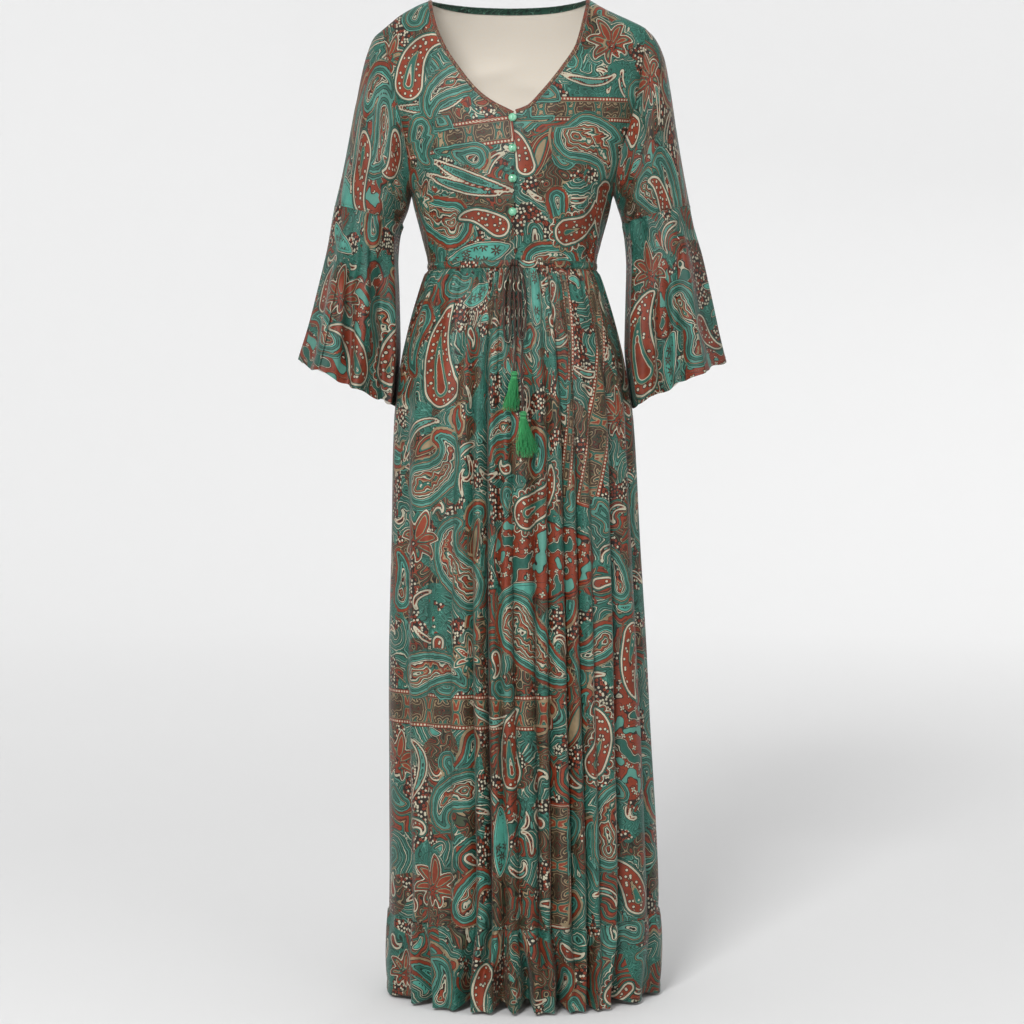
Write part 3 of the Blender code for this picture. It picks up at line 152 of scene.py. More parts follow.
# Rings of the sleeve and of its flounce, from the top down. keep: share of the armhole's own shape
# left in the ring. fold: how far the flounce's folds have grown.
RING = "outer_right outer_left outer_height inner_right inner_left inner_height depth "
SLEEVE = table(
    RING + "keep",
    (0.1795, 0.1850, -0.0425, 0.1397, 0.1417, -0.2720, 0.0600, 1.00),
    (0.1925, 0.1975, -0.0545, 0.1404, 0.1435, -0.2762, 0.0625, 0.70),
    (0.2025, 0.2105, -0.0800, 0.1421, 0.1449, -0.2822, 0.0655, 0.36),
    (0.2130, 0.2200, -0.1250, 0.1441, 0.1470, -0.2884, 0.0670, 0.12),
    (0.2235, 0.2285, -0.1800, 0.1466, 0.1495, -0.2954, 0.0650, 0.00),
    (0.2345, 0.2380, -0.2366, 0.1494, 0.1515, -0.3024, 0.0610, 0.00),
    (0.2464, 0.2471, -0.2856, 0.1529, 0.1536, -0.3108, 0.0560, 0.00),
)
FLOUNCE = table(
    RING + "fold",
    (0.2466, 0.2473, -0.2860, 0.1530, 0.1537, -0.3112, 0.0562, 0.00),
    (0.2527, 0.2520, -0.3150, 0.1580, 0.1568, -0.3290, 0.0580, 0.22),
    (0.2597, 0.2618, -0.3570, 0.1613, 0.1617, -0.3720, 0.0620, 0.50),
    (0.2695, 0.2709, -0.4046, 0.1612, 0.1622, -0.4210, 0.0675, 0.72),
    (0.2807, 0.2807, -0.4522, 0.1612, 0.1620, -0.4800, 0.0740, 0.88),
    (0.2947, 0.2919, -0.5026, 0.1675, 0.1730, -0.5640, 0.0820, 1.00),
)
# Angle round the cuff from its outer side over the front, and the depth of each valley at the hem.
WAVES = table("angle depth", (18, 0.0050), (66, 0.0120), (104, 0.0060), (146, 0.0085), (196, 0.0050),
              (238, 0.0095), (284, 0.0110), (328, 0.0065))
WAVE_COLUMNS = 4
SKIRT = table(
    "height half_width centre front back",
    (-0.3760, 0.1172, 0.0010, 0.0900, 0.0850), (-0.3878, 0.1225, 0.0010, 0.0955, 0.0905),
    (-0.4158, 0.1323, 0.0010, 0.1045, 0.0995), (-0.4438, 0.1414, 0.0010, 0.1120, 0.1070),
    (-0.4718, 0.1491, 0.0012, 0.1175, 0.1130), (-0.4998, 0.1554, 0.0014, 0.1215, 0.1175),
    (-0.5418, 0.1617, 0.0021, 0.1255, 0.1220), (-0.5838, 0.1666, 0.0028, 0.1280, 0.1250),
    (-0.7518, 0.1736, 0.0056, 0.1340, 0.1300), (-0.9198, 0.1806, 0.0084, 0.1400, 0.1350),
    (-1.0878, 0.1855, 0.0133, 0.1460, 0.1395), (-1.2720, 0.1900, 0.0172, 0.1520, 0.1445),
    (-1.3850, 0.1932, 0.0168, 0.1565, 0.1490),
)
# One row for each valley between two folds, in degrees round from the centre front to the wearer's
# left: its place high on the skirt, at the ruffle's seam and at the hem, its depth in the skirt and
# at the hem, and the number of columns from it to the next. At the front hem the folds run together
# into fewer and deeper tubes.
FOLD = "high low hem skirt ruffle columns"
FRONT_FOLDS = table(
    FOLD,
    (-90.0, -90.0, -90.0, 0.0000, 0.0000, 6), (-64.0, -58.0, -60.0, 0.0055, 0.0120, 6),
    (-44.0, -46.0, -44.5, 0.0045, 0.0250, 6), (-28.5, -34.0, -34.5, 0.0050, 0.0040, 4),
    (-20.5, -21.5, -25.3, 0.0085, 0.0340, 4), (-13.0, -14.8, -17.5, 0.0130, 0.0040, 4),
    (-7.0, -8.5, -9.8, 0.0065, 0.0290, 4), (-1.0, -2.0, 1.6, 0.0080, 0.0360, 6),
    (10.0, 6.6, 8.8, 0.0090, 0.0040, 4), (17.5, 12.0, 16.3, 0.0085, 0.0340, 4),
    (24.5, 21.8, 22.4, 0.0095, 0.0040, 4), (32.0, 28.4, 28.4, 0.0095, 0.0170, 4),
    (41.0, 35.0, 34.5, 0.0055, 0.0030, 6), (58.0, 46.0, 41.5, 0.0135, 0.0280, 6),
    (74.0, 71.0, 68.0, 0.0050, 0.0130, 6), (90.0, 90.0, 90.0, 0.0000, 0.0000, 0),
)
BACK_FOLDS = table(
    FOLD,
    (90.0, 90.0, 90.0, 0.0000, 0.0000, 6), (113.0, 109.0, 109.0, 0.0060, 0.0120, 6),
    (129.0, 126.0, 126.0, 0.0110, 0.0190, 4), (143.0, 140.0, 140.0, 0.0080, 0.0150, 4),
    (155.0, 153.0, 153.0, 0.0095, 0.0220, 6), (169.0, 168.0, 168.0, 0.0120, 0.0180, 4),
    (180.0, 179.0, 179.0, 0.0070, 0.0230, 4), (192.0, 192.0, 192.0, 0.0105, 0.0150, 6),
    (208.0, 207.0, 207.0, 0.0090, 0.0210, 4), (221.0, 222.0, 222.0, 0.0075, 0.0160, 4),
    (235.0, 238.0, 238.0, 0.0115, 0.0180, 6), (252.0, 255.0, 255.0, 0.0060, 0.0100, 6),
    (270.0, 270.0, 270.0, 0.0000, 0.0000, 0),
)
# How far the folds have grown at each height.
GROWTH = table("height amount", (-0.3760, 0.00), (-0.4100, 0.12), (-0.4700, 0.38), (-0.5800, 0.68),
               (-0.7500, 0.90), (-0.9500, 1.00), (-1.2720, 1.10), (-1.3900, 1.10))


# ---------------------------------------------------------------- curves and grids
def through(x, y, at):
    """A smooth curve through points, without overshoot, read at the places given."""
    order = np.argsort(x)
    x, y = x[order], y[order]
    step = np.diff(x)
    slope = np.diff(y) / step
    turn = slope[:-1] * slope[1:]
    mean = np.where(turn > 0, 2 * turn / np.where(turn > 0, slope[:-1] + slope[1:], 1.0), 0.0)
    ends = np.concatenate(([slope[0]], mean, [slope[-1]]))
    at = np.asarray(at, float)
    i = np.clip(np.searchsorted(x, at) - 1, 0, len(step) - 1)
    t = np.clip((at - x[i]) / step[i], -0.05, 1.05)
    return ((2 * t ** 3 - 3 * t ** 2 + 1) * y[i] + (t ** 3 - 2 * t ** 2 + t) * step[i] * ends[i]
            + (3 * t ** 2 - 2 * t ** 3) * y[i + 1] + (t ** 3 - t ** 2) * step[i] * ends[i + 1])


def column(rows, name):
    """One column of a table as an array."""
    return np.array([getattr(row, name) for row in rows], float)


def curve(rows, key, value, at):
    """A smooth curve through two columns of a table, read at the places given."""
    return through(column(rows, key), column(rows, value), at)


def by_number(rows, name, at):
    """A column read at a row number that may lie between two rows."""
    return through(np.arange(len(rows)), column(rows, name), at)


def ease(t):
    """0 to 1, starting and ending gently."""
    t = np.clip(t, 0.0, 1.0)
    return t * t * (3 - 2 * t)


def unit(v):
    """The same ways with a length of 1."""
    return v / np.maximum(np.linalg.norm(v, axis=-1, keepdims=True), 1e-12)


def point(x, y, z):
    """Places or ways from their three parts."""
    x, y, z = np.broadcast_arrays(x, y, z)
    return np.stack([x, y, z], axis=-1).astype(float)


def level(x, y):
    """A way in the level plane, with a length of 1."""
    return unit(point(x, y, np.zeros_like(x)))


def grid_normals(points, ring=False):
    """At each grid point the mean of the faces round it, turned to point out of the hollow."""
    closed = np.concatenate([points, points[:, :1]], axis=1) if ring else points
    face = unit(np.cross(closed[1:, 1:] - closed[:-1, :-1], closed[1:, :-1] - closed[:-1, 1:]))
    total = np.zeros_like(points)
    if ring:
        both = face + np.roll(face, 1, axis=1)
        total[:-1] += both
        total[1:] += both
    else:
        total[:-1, :-1] += face
        total[:-1, 1:] += face
        total[1:, :-1] += face
        total[1:, 1:] += face
    total = unit(total)
    middle = points.mean(axis=1, keepdims=True) if ring else np.array([TORSO_CENTRE, 0.0, 0.0])
    away = np.sum((points - middle) * total * np.array([1, 1, 0]), axis=-1)
    return total * (1 if np.median(away) > 0 else -1)


def flat(normals, row):
    """Turn one row's normals into the level plane, so that a seam's two edges stay parallel."""
    normals[row, :, 2] = 0.0
    normals[row] = unit(normals[row])


def lengths(line):
    """How far along a line each of its points lies."""
    return np.concatenate([[0], np.cumsum(np.linalg.norm(np.diff(line, axis=0), axis=1))])


def along_line(line, length, at):
    """The places on a line, or the values that go with it, at the given lengths along it."""
    return np.stack([np.interp(at, length, line[:, k]) for k in range(3)], axis=1)


def full_turn(steps):
    """Equal angles round a circle, without the last."""
    return np.linspace(0, 2 * math.pi, steps + 1)[:-1]


# ---------------------------------------------------------------- bodice
def side_name(side):
    return "right" if side < 0 else "left"


def torso_half(z):
    """Half the torso's width at a height."""
    return curve(TORSO, "height", "half_width", z)


def torso_x(turn, z):
    """Where an angle round the torso lies across it."""
    return TORSO_CENTRE + torso_half(z) * np.sin(turn)


def angle_of(x, z):
    """How far round the torso a place lies."""
    return np.arcsin(np.clip((x - TORSO_CENTRE) / torso_half(z), -1, 1))


def shoulder_height(x):
    """Height of the shoulder line, which differs between right and left."""
    half = np.abs(x - TORSO_CENTRE)
    return np.where(x < TORSO_CENTRE, curve(SHOULDER, "half_width", "right", half),
                    curve(SHOULDER, "half_width", "left", half))


NEARBY = 5e-4            # to either side of a place, where a slope is read
ROW_NEARBY = 0.05        # the same in rows, in rings, and in radians round a ring
RING_NEARBY = 0.01
TURN_NEARBY = 1e-4


def shoulder_normal(x):
    """Straight out of the shoulder seam, in the plane of the seam."""
    slope = (shoulder_height(x + NEARBY) - shoulder_height(x - NEARBY)) / (2 * NEARBY)
    return unit(point(-slope, np.zeros_like(slope), np.ones_like(slope)))


def torso_y(x, z, side):
    """Depth of the torso form: side is -1 in front and +1 behind."""
    deep = curve(TORSO, "height", "front" if side < 0 else "back", z)
    across = np.clip((x - TORSO_CENTRE) / torso_half(z), -1, 1)
    below = np.clip((shoulder_height(x) - z) / SHOULDER_ROUND, 0, 1)
    close = np.sqrt(np.maximum(1 - (1 - below) ** 2, 0))
    return side * (deep * np.sqrt(np.maximum(1 - across ** 2, 0)) * close + GAP / 2)


def v_edge(v, side):
    """Finished edge of the V neck; side is -1 for the right front and +1 for the left front."""
    name = side_name(side)
    number = np.clip(v, V_ROW, TOP_ROW) - V_ROW
    return by_number(V_EDGE, name + "_x", number), by_number(V_EDGE, name + "_z", number)


def v_edge_out(v, side, distance):
    """The V edge moved away from the opening."""
    v = np.clip(v, V_ROW, TOP_ROW)
    x0, z0 = v_edge(v - ROW_NEARBY, side)
    x1, z1 = v_edge(v + ROW_NEARBY, side)
    x, z = v_edge(v, side)
    size = np.hypot(x1 - x0, z1 - z0)
    x = x + side * (z1 - z0) / size * distance
    z = z - side * (x1 - x0) / size * distance
    return x, z + ease(v - (TOP_ROW - 1)) * (shoulder_height(x) - z)


def front_inner(v, side):
    """Inner edge of a front's cloth: the placket below the V, then the edge behind the binding."""
    placket_x, top_z = (OVERLAP_EDGE, INNER_HEIGHTS[-1]) if side < 0 else (UNDERLAP_EDGE, UNDERLAP_TOP)
    heights = np.array(INNER_HEIGHTS[:-1] + (top_z,))
    low_z = through(np.arange(V_ROW + 1), heights, np.minimum(v, V_ROW))
    next_x, next_z = v_edge_out(np.array(V_ROW + 1.0), side, BINDING_WIDTH + GAP)
    neck_x, neck_z = v_edge_out(v, side, BINDING_WIDTH + GAP)
    share = v - V_ROW
    x = np.where(share < 1, placket_x + (next_x - placket_x) * share, neck_x)
    z = np.where(share < 1, top_z + (next_z - top_z) * share, neck_z)
    return np.where(share <= 0, placket_x, x), np.where(share <= 0, low_z, z)


def climb(v):
    """0 up to the V's point and 1 at the shoulder: how far the rows follow the top edge."""
    return ease((v - V_ROW) / (TOP_ROW - V_ROW)) ** 2


def outer_edge(v, side):
    """Side seam up to the armpit, then the armhole up to the outer end of the shoulder seam."""
    name = side_name(side)
    heights = column(ROWS, "outer")
    tip = shoulder_height(np.array(TORSO_CENTRE + side * getattr(ARMHOLE[-1], name)))
    z = by_number(ROWS, "outer", v) + climb(v) * (tip - heights[TOP_ROW])
    arm = curve(ARMHOLE, "height", name, heights)
    arm_x = through(np.arange(PIT_ROW, TOP_ROW + 1), arm[PIT_ROW:], np.maximum(v, PIT_ROW))
    return TORSO_CENTRE + side * np.where(v <= PIT_ROW, torso_half(z), arm_x), z


def shirring(phase, z):
    """Creases above the waist, deepest at the casing."""
    fade = np.clip(1 - (z - WAIST_TOP) / SHIRR_HEIGHT, 0, 1) ** 1.5
    return SHIRR_DEPTH * fade * np.cos(math.pi * phase)


def front_point(side):
    """Surface of a front: u from its inner to its outer edge, v in rows up from the waist."""
    top_row = np.array(float(TOP_ROW))
    top_in, top_out = front_inner(top_row, side), outer_edge(top_row, side)

    def surface(u, v):
        x_in, z_in = front_inner(v, side)
        x_out, z_out = outer_edge(v, side)
        z = z_in + (z_out - z_in) * u
        turn = angle_of(x_in, z_in) + (angle_of(x_out, z_out) - angle_of(x_in, z_in)) * u
        line = top_in[1] + (top_out[1] - top_in[1]) * u
        top_turn = angle_of(*top_in) + (angle_of(*top_out) - angle_of(*top_in)) * u
        z = z + climb(v) * (shoulder_height(torso_x(top_turn, line)) - line)
        x = torso_x(turn, z)
        z = np.where(v >= TOP_ROW, shoulder_height(x), np.minimum(z, shoulder_height(x)))
        y = torso_y(x, z, -1)
        if side > 0:
            y = y + UNDERLAP_DROP * (1 - ease((x - OVERLAP_EDGE - UNDERLAP_START) / UNDERLAP_RISE))
        calm = ease((side * (x - OVERLAP_EDGE) - PLACKET_START) / PLACKET_CALM)
        return point(x, y - shirring(FRONT_COLUMNS * u, z) * calm, z)

    return surface


def neck_end(side):
    """Where the neckline meets the shoulder seam."""
    return np.where(side < 0, NECK_RIGHT, NECK_LEFT)


def neck_corner(side):
    """Where the back's cloth meets the shoulder seam, clear of the binding."""
    return neck_end(side) + side * (BINDING_WIDTH + GAP)


def back_neck(q):
    """Finished edge of the back neck, q from -1 to 1 between the shoulder seams."""
    end = neck_end(q)
    x = end * np.abs(q)
    z = shoulder_height(end) * np.abs(q) ** 3 - BACK_NECK_DIP * (1 - q ** 2)
    return x, np.minimum(z, shoulder_height(x))


def back_cloth_top(x):
    """Upper edge of the back's cloth below the binding, for a place across the neck."""
    end = neck_corner(np.where(x < 0, -1.0, 1.0))
    q = np.clip(x / end, 0, 1)
    return (shoulder_height(end) * q ** 3 - BACK_NECK_DIP * (1 - q ** 2)
            - (BACK_BINDING_WIDTH + GAP) * (1 - q ** 4))


def back_place(side, inside, q, s, v):
    """A place on the back as an angle and a height, before its rows follow the top edge."""
    end = neck_corner(side)
    z_corner = np.minimum(by_number(ROWS, "corner", v), shoulder_height(end))
    low = side * torso_half(z_corner) * math.sin(BACK_CORNER_TURN)
    x_corner = TORSO_CENTRE + low + (end - TORSO_CENTRE - low) * ease(v / TOP_ROW)
    x_right, z_out = outer_edge(v, -1)
    x_left, _ = outer_edge(v, 1)
    turn_corner = angle_of(x_corner, z_corner)
    turn_out = angle_of(np.where(side < 0, x_right, x_left), z_out)
    z_back = by_number(ROWS, "back", v)
    turn = np.where(inside, turn_corner * q, turn_corner + (turn_out - turn_corner) * s)
    z = np.where(inside, z_back + (z_corner - z_back) * ease(q), z_corner + (z_out - z_corner) * s)
    return turn, z


def back_point(u, v):
    """Back bodice: u from -1 at the right side to 1 at the left."""
    side = np.where(u < 0, -1.0, 1.0)
    size = np.abs(u)
    inside = size <= NECK_SHARE
    rise = climb(v)
    q = np.clip(size / NECK_SHARE, 0, 1)
    q = q + (np.sin(q * math.pi / 2) - q) * rise
    s = np.clip((size - NECK_SHARE) / (1 - NECK_SHARE), 0, 1)
    turn, z = back_place(side, inside, q, s, v)
    top_turn, top_z = back_place(side, inside, q, s, np.full_like(v, float(TOP_ROW)))
    top_x = torso_x(top_turn, top_z)
    z = z + rise * (np.where(inside, back_cloth_top(top_x), shoulder_height(top_x)) - top_z)
    x = torso_x(turn, z)
    seam = (v >= TOP_ROW) & (size >= NECK_SHARE)
    z = np.where(seam, shoulder_height(x), np.minimum(z, shoulder_height(x)))
    return point(x, torso_y(x, z, 1) + shirring(BACK_COLUMNS / 2 * (1 - size), z), z)


def seam_normals(points, u, v, shoulder, side_edge):
    """Along the shoulder and side seams both panels lean the same way."""
    normals = grid_normals(points)
    normals = np.where((shoulder & (v >= TOP_ROW))[..., None], shoulder_normal(points[..., 0]), normals)
    sideways = point(np.sign(points[..., 0]), np.zeros_like(u), np.zeros_like(u))
    normals = np.where((side_edge & (v <= PIT_ROW))[..., None], sideways, normals)
    flat(normals, 0)
    return normals


# ---------------------------------------------------------------- sleeves and flounces
def armhole_point(side, c):
    """Round the armhole: 0 at the shoulder, then over the front to the armpit and up the back."""
    half = float(TOP_ROW - PIT_ROW)
    front = c <= half
    v = np.where(front, TOP_ROW - c, PIT_ROW + (c - half))
    x, z = outer_edge(v, side)
    z = np.minimum(z, shoulder_height(x))
    y = np.where(front, torso_y(x, z, -1), torso_y(x, z, 1))
    ends = np.minimum(np.abs(c), np.minimum(np.abs(c - half), np.abs(c - 2 * half)))
    return point(x, np.where(ends < 1e-6, 0.0, y), z)


def ring_point(rings, side, angle, s):
    """A slanted ring between an outer and an inner point; the angle starts outside, over the front."""
    name = side_name(side)
    out_x, out_z = by_number(rings, "outer_" + name, s), by_number(rings, "outer_height", s)
    in_x, in_z = by_number(rings, "inner_" + name, s), by_number(rings, "inner_height", s)
    x = TORSO_CENTRE + side * ((out_x + in_x) / 2 + (out_x - in_x) / 2 * np.cos(angle))
    z = (out_z + in_z) / 2 + (out_z - in_z) / 2 * np.cos(angle)
    return point(x, -by_number(rings, "depth", s) * np.sin(angle), z)


def sleeve_point(side, c, s):
    """The sleeve: c in columns round it, s in rings down it."""
    angle = 2 * math.pi * c / SLEEVE_COLUMNS
    keep = np.clip(by_number(SLEEVE, "keep", s), 0, 1)[..., None]
    base = ring_point(SLEEVE, side, angle, np.zeros_like(s))
    return ring_point(SLEEVE, side, angle, s) + (armhole_point(side, c) - base) * keep


def fold_shape(t, wide=0.0):
    """1 in a valley and 0 on the ridge halfway to the next one; wide valleys leave slim tubes."""
    t = np.clip(t, 0.0, 0.5)
    narrow = 0.65 * (1 - np.sin(math.pi * t)) + 0.35 * np.cos(math.pi * t) ** 2
    return narrow + (1 - np.sin(math.pi * t) ** 2.4 - narrow) * wide


def between(depths, i, t, wide=0.0):
    """How deep the cloth lies between the valleys i and i + 1."""
    return depths[i] * fold_shape(t, wide) + depths[i + 1] * fold_shape(1 - t, wide)


def flounce_point(side, sharper, c, s):
    """The flounce's surface as a ring with valleys, gathered at its seam."""
    waves = WAVES + [WAVES[0]._replace(angle=WAVES[0].angle + 360)]
    angles, depths = column(waves, "angle"), column(waves, "depth") * sharper
    c = np.mod(c, len(WAVES) * WAVE_COLUMNS) / WAVE_COLUMNS
    i = np.clip(c.astype(int), 0, len(WAVES) - 1)
    t = c - i
    angle = np.radians(angles[i] + (angles[i + 1] - angles[i]) * t)
    last = len(FLOUNCE) - 1
    along = ring_point(FLOUNCE, side, angle + TURN_NEARBY, s) \
        - ring_point(FLOUNCE, side, angle - TURN_NEARBY, s)
    down = ring_point(FLOUNCE, side, angle, np.clip(s + RING_NEARBY, 0, last)) \
        - ring_point(FLOUNCE, side, angle, np.clip(s - RING_NEARBY, 0, last))
    out = unit(np.cross(along, down)) * -side
    sink = between(depths, i, t) * by_number(FLOUNCE, "fold", s)
    gather = CUFF_GATHER_DEPTH * np.clip(1 - s / CUFF_GATHER_RINGS, 0, 1) * np.cos(math.pi * WAVE_COLUMNS * c)
    return ring_point(FLOUNCE, side, angle, s) + out * (gather - sink)[..., None]


# ---------------------------------------------------------------- skirt and ruffle
def fold_columns(folds):
    """The column at which each valley lies."""
    return np.array([0] + list(np.cumsum([f.columns for f in folds[:-1]])), float)


def fold_at(folds, c):
    """The valley before each column, and how far the column lies towards the next."""
    edges = fold_columns(folds)
    i = np.clip(np.searchsorted(edges, c, side="right") - 1, 0, len(folds) - 2)
    return i, (c - edges[i]) / (edges[i + 1] - edges[i])


def skirt_section(z):
    """The skirt's half width, centre, and depths in front and behind at a height."""
    return [curve(SKIRT, "height", name, z) for name in ("half_width", "centre", "front", "back")]


def skirt_like(folds, back, c, z, depths, extra, pinch, wide=0.0, to_hem=0.0):
    """Cloth hung round the skirt's section with valleys of the depths given at each place."""
    half, centre, front, behind = skirt_section(z)
    depth = behind if back else front
    i, t = fold_at(folds, c)
    high, low, hem = column(folds, "high"), column(folds, "low"), column(folds, "hem")
    down = np.clip((z - FOLD_TURN_TOP) / (SKIRT_BOTTOM - FOLD_TURN_TOP), 0, 1.05)
    step = np.degrees((GAP / 2 + SEAM_CLEAR) / depth)

    def angle_at(k):
        turn = high[k] + (low[k] - high[k]) * down + (hem[k] - low[k]) * to_hem
        return np.where(k == 0, turn + step, np.where(k == len(folds) - 1, turn - step, turn))
    start, stop = angle_at(i), angle_at(i + 1)
    squeezed = t - pinch * np.sin(2 * math.pi * t) / (2 * math.pi)
    angle = np.radians(start + (stop - start) * squeezed)
    out = level(depth * np.sin(angle), -half * np.cos(angle))
    sink = depths(i) * fold_shape(t, wide) + depths(i + 1) * fold_shape(1 - t, wide)
    return point(centre + half * np.sin(angle), -depth * np.cos(angle), z) + out * (extra - sink)[..., None]


def skirt_point(folds, back, c, z):
    """The skirt: c in columns across it, z its height."""
    deep = column(folds, "skirt")
    grown = curve(GROWTH, "height", "amount", z)
    fade = np.clip(1 - (WAIST_BOTTOM - z) / GATHER_HEIGHT, 0, 1) ** 1.5
    gather = GATHER_DEPTH * fade * np.cos(math.pi * c)
    pinch = PINCH * ease((PINCH_TOP - z) / PINCH_HEIGHT)
    return skirt_like(folds, back, c, z, lambda k: deep[k] * grown, gather, pinch)


def ruffle_point(folds, back, c, share):
    """The hem ruffle: c in columns across it, share from its seam to the hem."""
    deep, wide = column(folds, "skirt") * RUFFLE_DEEPER, column(folds, "ruffle")
    i, t = fold_at(folds, c)
    lift = between(wide, i, t, 0.7) / DEEP_VALLEY * HEM_LIFT
    z = SKIRT_BOTTOM - GAP + (HEM + lift - SKIRT_BOTTOM + GAP) * share
    open_by = ease(share) ** 0.8
    puff = RUFFLE_PUFF * np.sin(math.pi * np.clip(share * 1.15, 0, 1)) ** 0.7
    fade = np.clip(1 - share * (SKIRT_BOTTOM - HEM) / RUFFLE_GATHER_HEIGHT, 0, 1) ** 1.3
    gather = GATHER_DEPTH * fade * np.cos(math.pi * c)
    return skirt_like(folds, back, c, z, lambda k: deep[k] + (wide[k] - deep[k]) * open_by,
                      gather + puff, PINCH * (1 - open_by), TUBE_SHARE * open_by, ease(share * 1.3))


def side_seams(normals):
    """At a side seam the wall's edge is square to the seam."""
    for edge in (0, -1):
        normals[:, edge, 1] = 0.0
        normals[:, edge] = unit(normals[:, edge])


def skirt_front_y(x, z):
    """Outermost cloth of the skirt's or waist's front at a place."""
    half, centre, front, _ = skirt_section(np.minimum(z, WAIST_BOTTOM))
    return -front * np.sqrt(1 - np.clip((x - centre) / half, -1, 1) ** 2)


# ---------------------------------------------------------------- drawstring's way
KNOT = (0.0034, -0.3700)
KNOT_RADIUS = np.array([0.0085, 0.0046, 0.0060])
KNOT_OFF = 0.0061        # of its centre from the cloth, so that it rests on the casing
FRONT_LAYER = 0.0078     # cords that pass over others
BACK_LAYER = 0.0033      # cords that lie on the cloth
KNOT_STRAIGHT = 0.0020   # how far a cord runs straight out of the knot
# starts: where each end leaves the knot, in degrees from straight down towards the wearer's left,
# how far forward of the knot's middle (1 is its front), and its distance from the knot's surface.
# places: its way down, across, up and off the cloth behind it. count: points of the finished line.
Strand = namedtuple("Strand", "starts count places")
STRANDS = {
    "drawstring_loop_right": Strand(
        ((-52, 0.45, 0.0005), (-14, 0.60, 0.0005)), 20,
        ((-0.0078, -0.3900, FRONT_LAYER), (-0.0096, -0.4080, 0.0070), (-0.0102, -0.4320, 0.0050),
         (-0.0100, -0.4560, 0.0036), (-0.0086, -0.4740, BACK_LAYER), (-0.0054, -0.4825, BACK_LAYER),
         (-0.0022, -0.4745, BACK_LAYER), (-0.0016, -0.4560, 0.0036), (-0.0024, -0.4320, 0.0050),
         (-0.0018, -0.4080, 0.0070), (0.0004, -0.3900, FRONT_LAYER))),
    "drawstring_loop_left": Strand(
        ((28, 0.60, 0.0009), (56, 0.05, 0.0012)), 20,
        ((0.0086, -0.3900, FRONT_LAYER), (0.0094, -0.4080, FRONT_LAYER),
         (0.0096, -0.4330, FRONT_LAYER), (0.0100, -0.4540, FRONT_LAYER),
         (0.0112, -0.4700, FRONT_LAYER), (0.0142, -0.4780, FRONT_LAYER),
         (0.0172, -0.4710, FRONT_LAYER), (0.0188, -0.4540, 0.0068), (0.0190, -0.4280, 0.0054),
         (0.0178, -0.4080, 0.0048), (0.0148, -0.3910, 0.0052))),
    "drawstring_end_right": Strand(
        ((-30, -0.30, 0.0014),), 13,
        ((0.0018, -0.3920, BACK_LAYER), (0.0036, -0.4120, BACK_LAYER), (0.0046, -0.4400, 0.0030),
         (0.0050, -0.4680, 0.0028), (0.0046, -0.4880, 0.0038), (0.0042, -0.5030, 0.0056),
         (0.0036, -0.5168, 0.0064))),
    "drawstring_end_left": Strand(
        ((14, -0.30, 0.0012),), 18,
        ((0.0086, -0.3920, BACK_LAYER), (0.0122, -0.4120, BACK_LAYER), (0.0138, -0.4400, 0.0030),
         (0.0140, -0.4800, 0.0028), (0.0142, -0.5200, 0.0036), (0.0150, -0.5480, 0.0058),
         (0.0156, -0.5706, 0.0066))),
}


def knot_centre():
    """The knot's middle, resting on the casing."""
    return np.array([KNOT[0], skirt_front_y(*np.array(KNOT)) - KNOT_OFF, KNOT[1]])


def leave_knot(turn, forward, clear):
    """The cord's first two points, square to the knot's surface and no nearer the cloth."""
    turn = math.radians(turn)
    beside = math.sqrt(1 - forward ** 2)
    way = np.array([math.sin(turn) * beside, -forward, -math.cos(turn) * beside])
    normal = unit(way / KNOT_RADIUS)
    normal[1] = min(normal[1], 0.0)
    normal = unit(normal)
    first = knot_centre() + way * KNOT_RADIUS + normal * clear
    return [first, first + normal * KNOT_STRAIGHT]


def catmull(values, at):
    """A smooth curve through equally numbered values."""
    padded = np.concatenate([[2 * values[0] - values[1]], values, [2 * values[-1] - values[-2]]])
    i = np.clip(at.astype(int), 0, len(values) - 2)
    t = at - i
    a, b, c, d = padded[i], padded[i + 1], padded[i + 2], padded[i + 3]
    return 0.5 * (2 * b + (c - a) * t + (2 * a - 5 * b + 4 * c - d) * t ** 2
                  + (3 * b - a - 3 * c + d) * t ** 3)


def strand_path(name):
    """A smooth route from the knot through the cord's places, each held off the cloth behind it."""
    strand = STRANDS[name]
    places = leave_knot(*strand.starts[0])
    places += [(x, skirt_front_y(*np.array([x, z])) - off, z) for x, z, off in strand.places]
    if len(strand.starts) > 1:
        places += leave_knot(*strand.starts[1])[::-1]
    places = np.array(places)
    step = np.linspace(0, len(places) - 1, 12 * len(places))
    fine = np.stack([catmull(places[:, k], step) for k in range(3)], axis=1)
    length = lengths(fine)
    return along_line(fine, length, np.linspace(0, length[-1], strand.count))


# ---------------------------------------------------------------- cloth panels
CLOTH = 0.0009           # thickness of the thin cloth
BODICE_ROWS = 8          # fine rows for each row of the solids
FRONT_FINE = 5           # fine columns for each column of the solids
BACK_FINE = 6
SLEEVE_FINE = 14
FLOUNCE_FINE = 18
FLOUNCE_ACROSS = 8
SKIRT_FINE = 324
SKIRT_ACROSS = {"front": 3, "back": 4}
RUFFLE_FINE = 46
RUFFLE_ACROSS = 4
CASING_FINE = 6
CASING_ACROSS = 8
SKIRT_TOP = -0.3763
PRINT_HEIGHT = -1.10     # where a skirt's cloth lies at its full width
FLOUNCE_SIZE_ROW = -25   # fine rows along which the length of a flounce's or ruffle's cloth is read
RUFFLE_SIZE_ROW = -12
SHARPER = 1.6            # the thin cloth falls this much deeper into its valleys than the solid
HEM_DEEPER = 1.45        # and this much at the back's hem
SHARP_EDGE = math.radians(60)
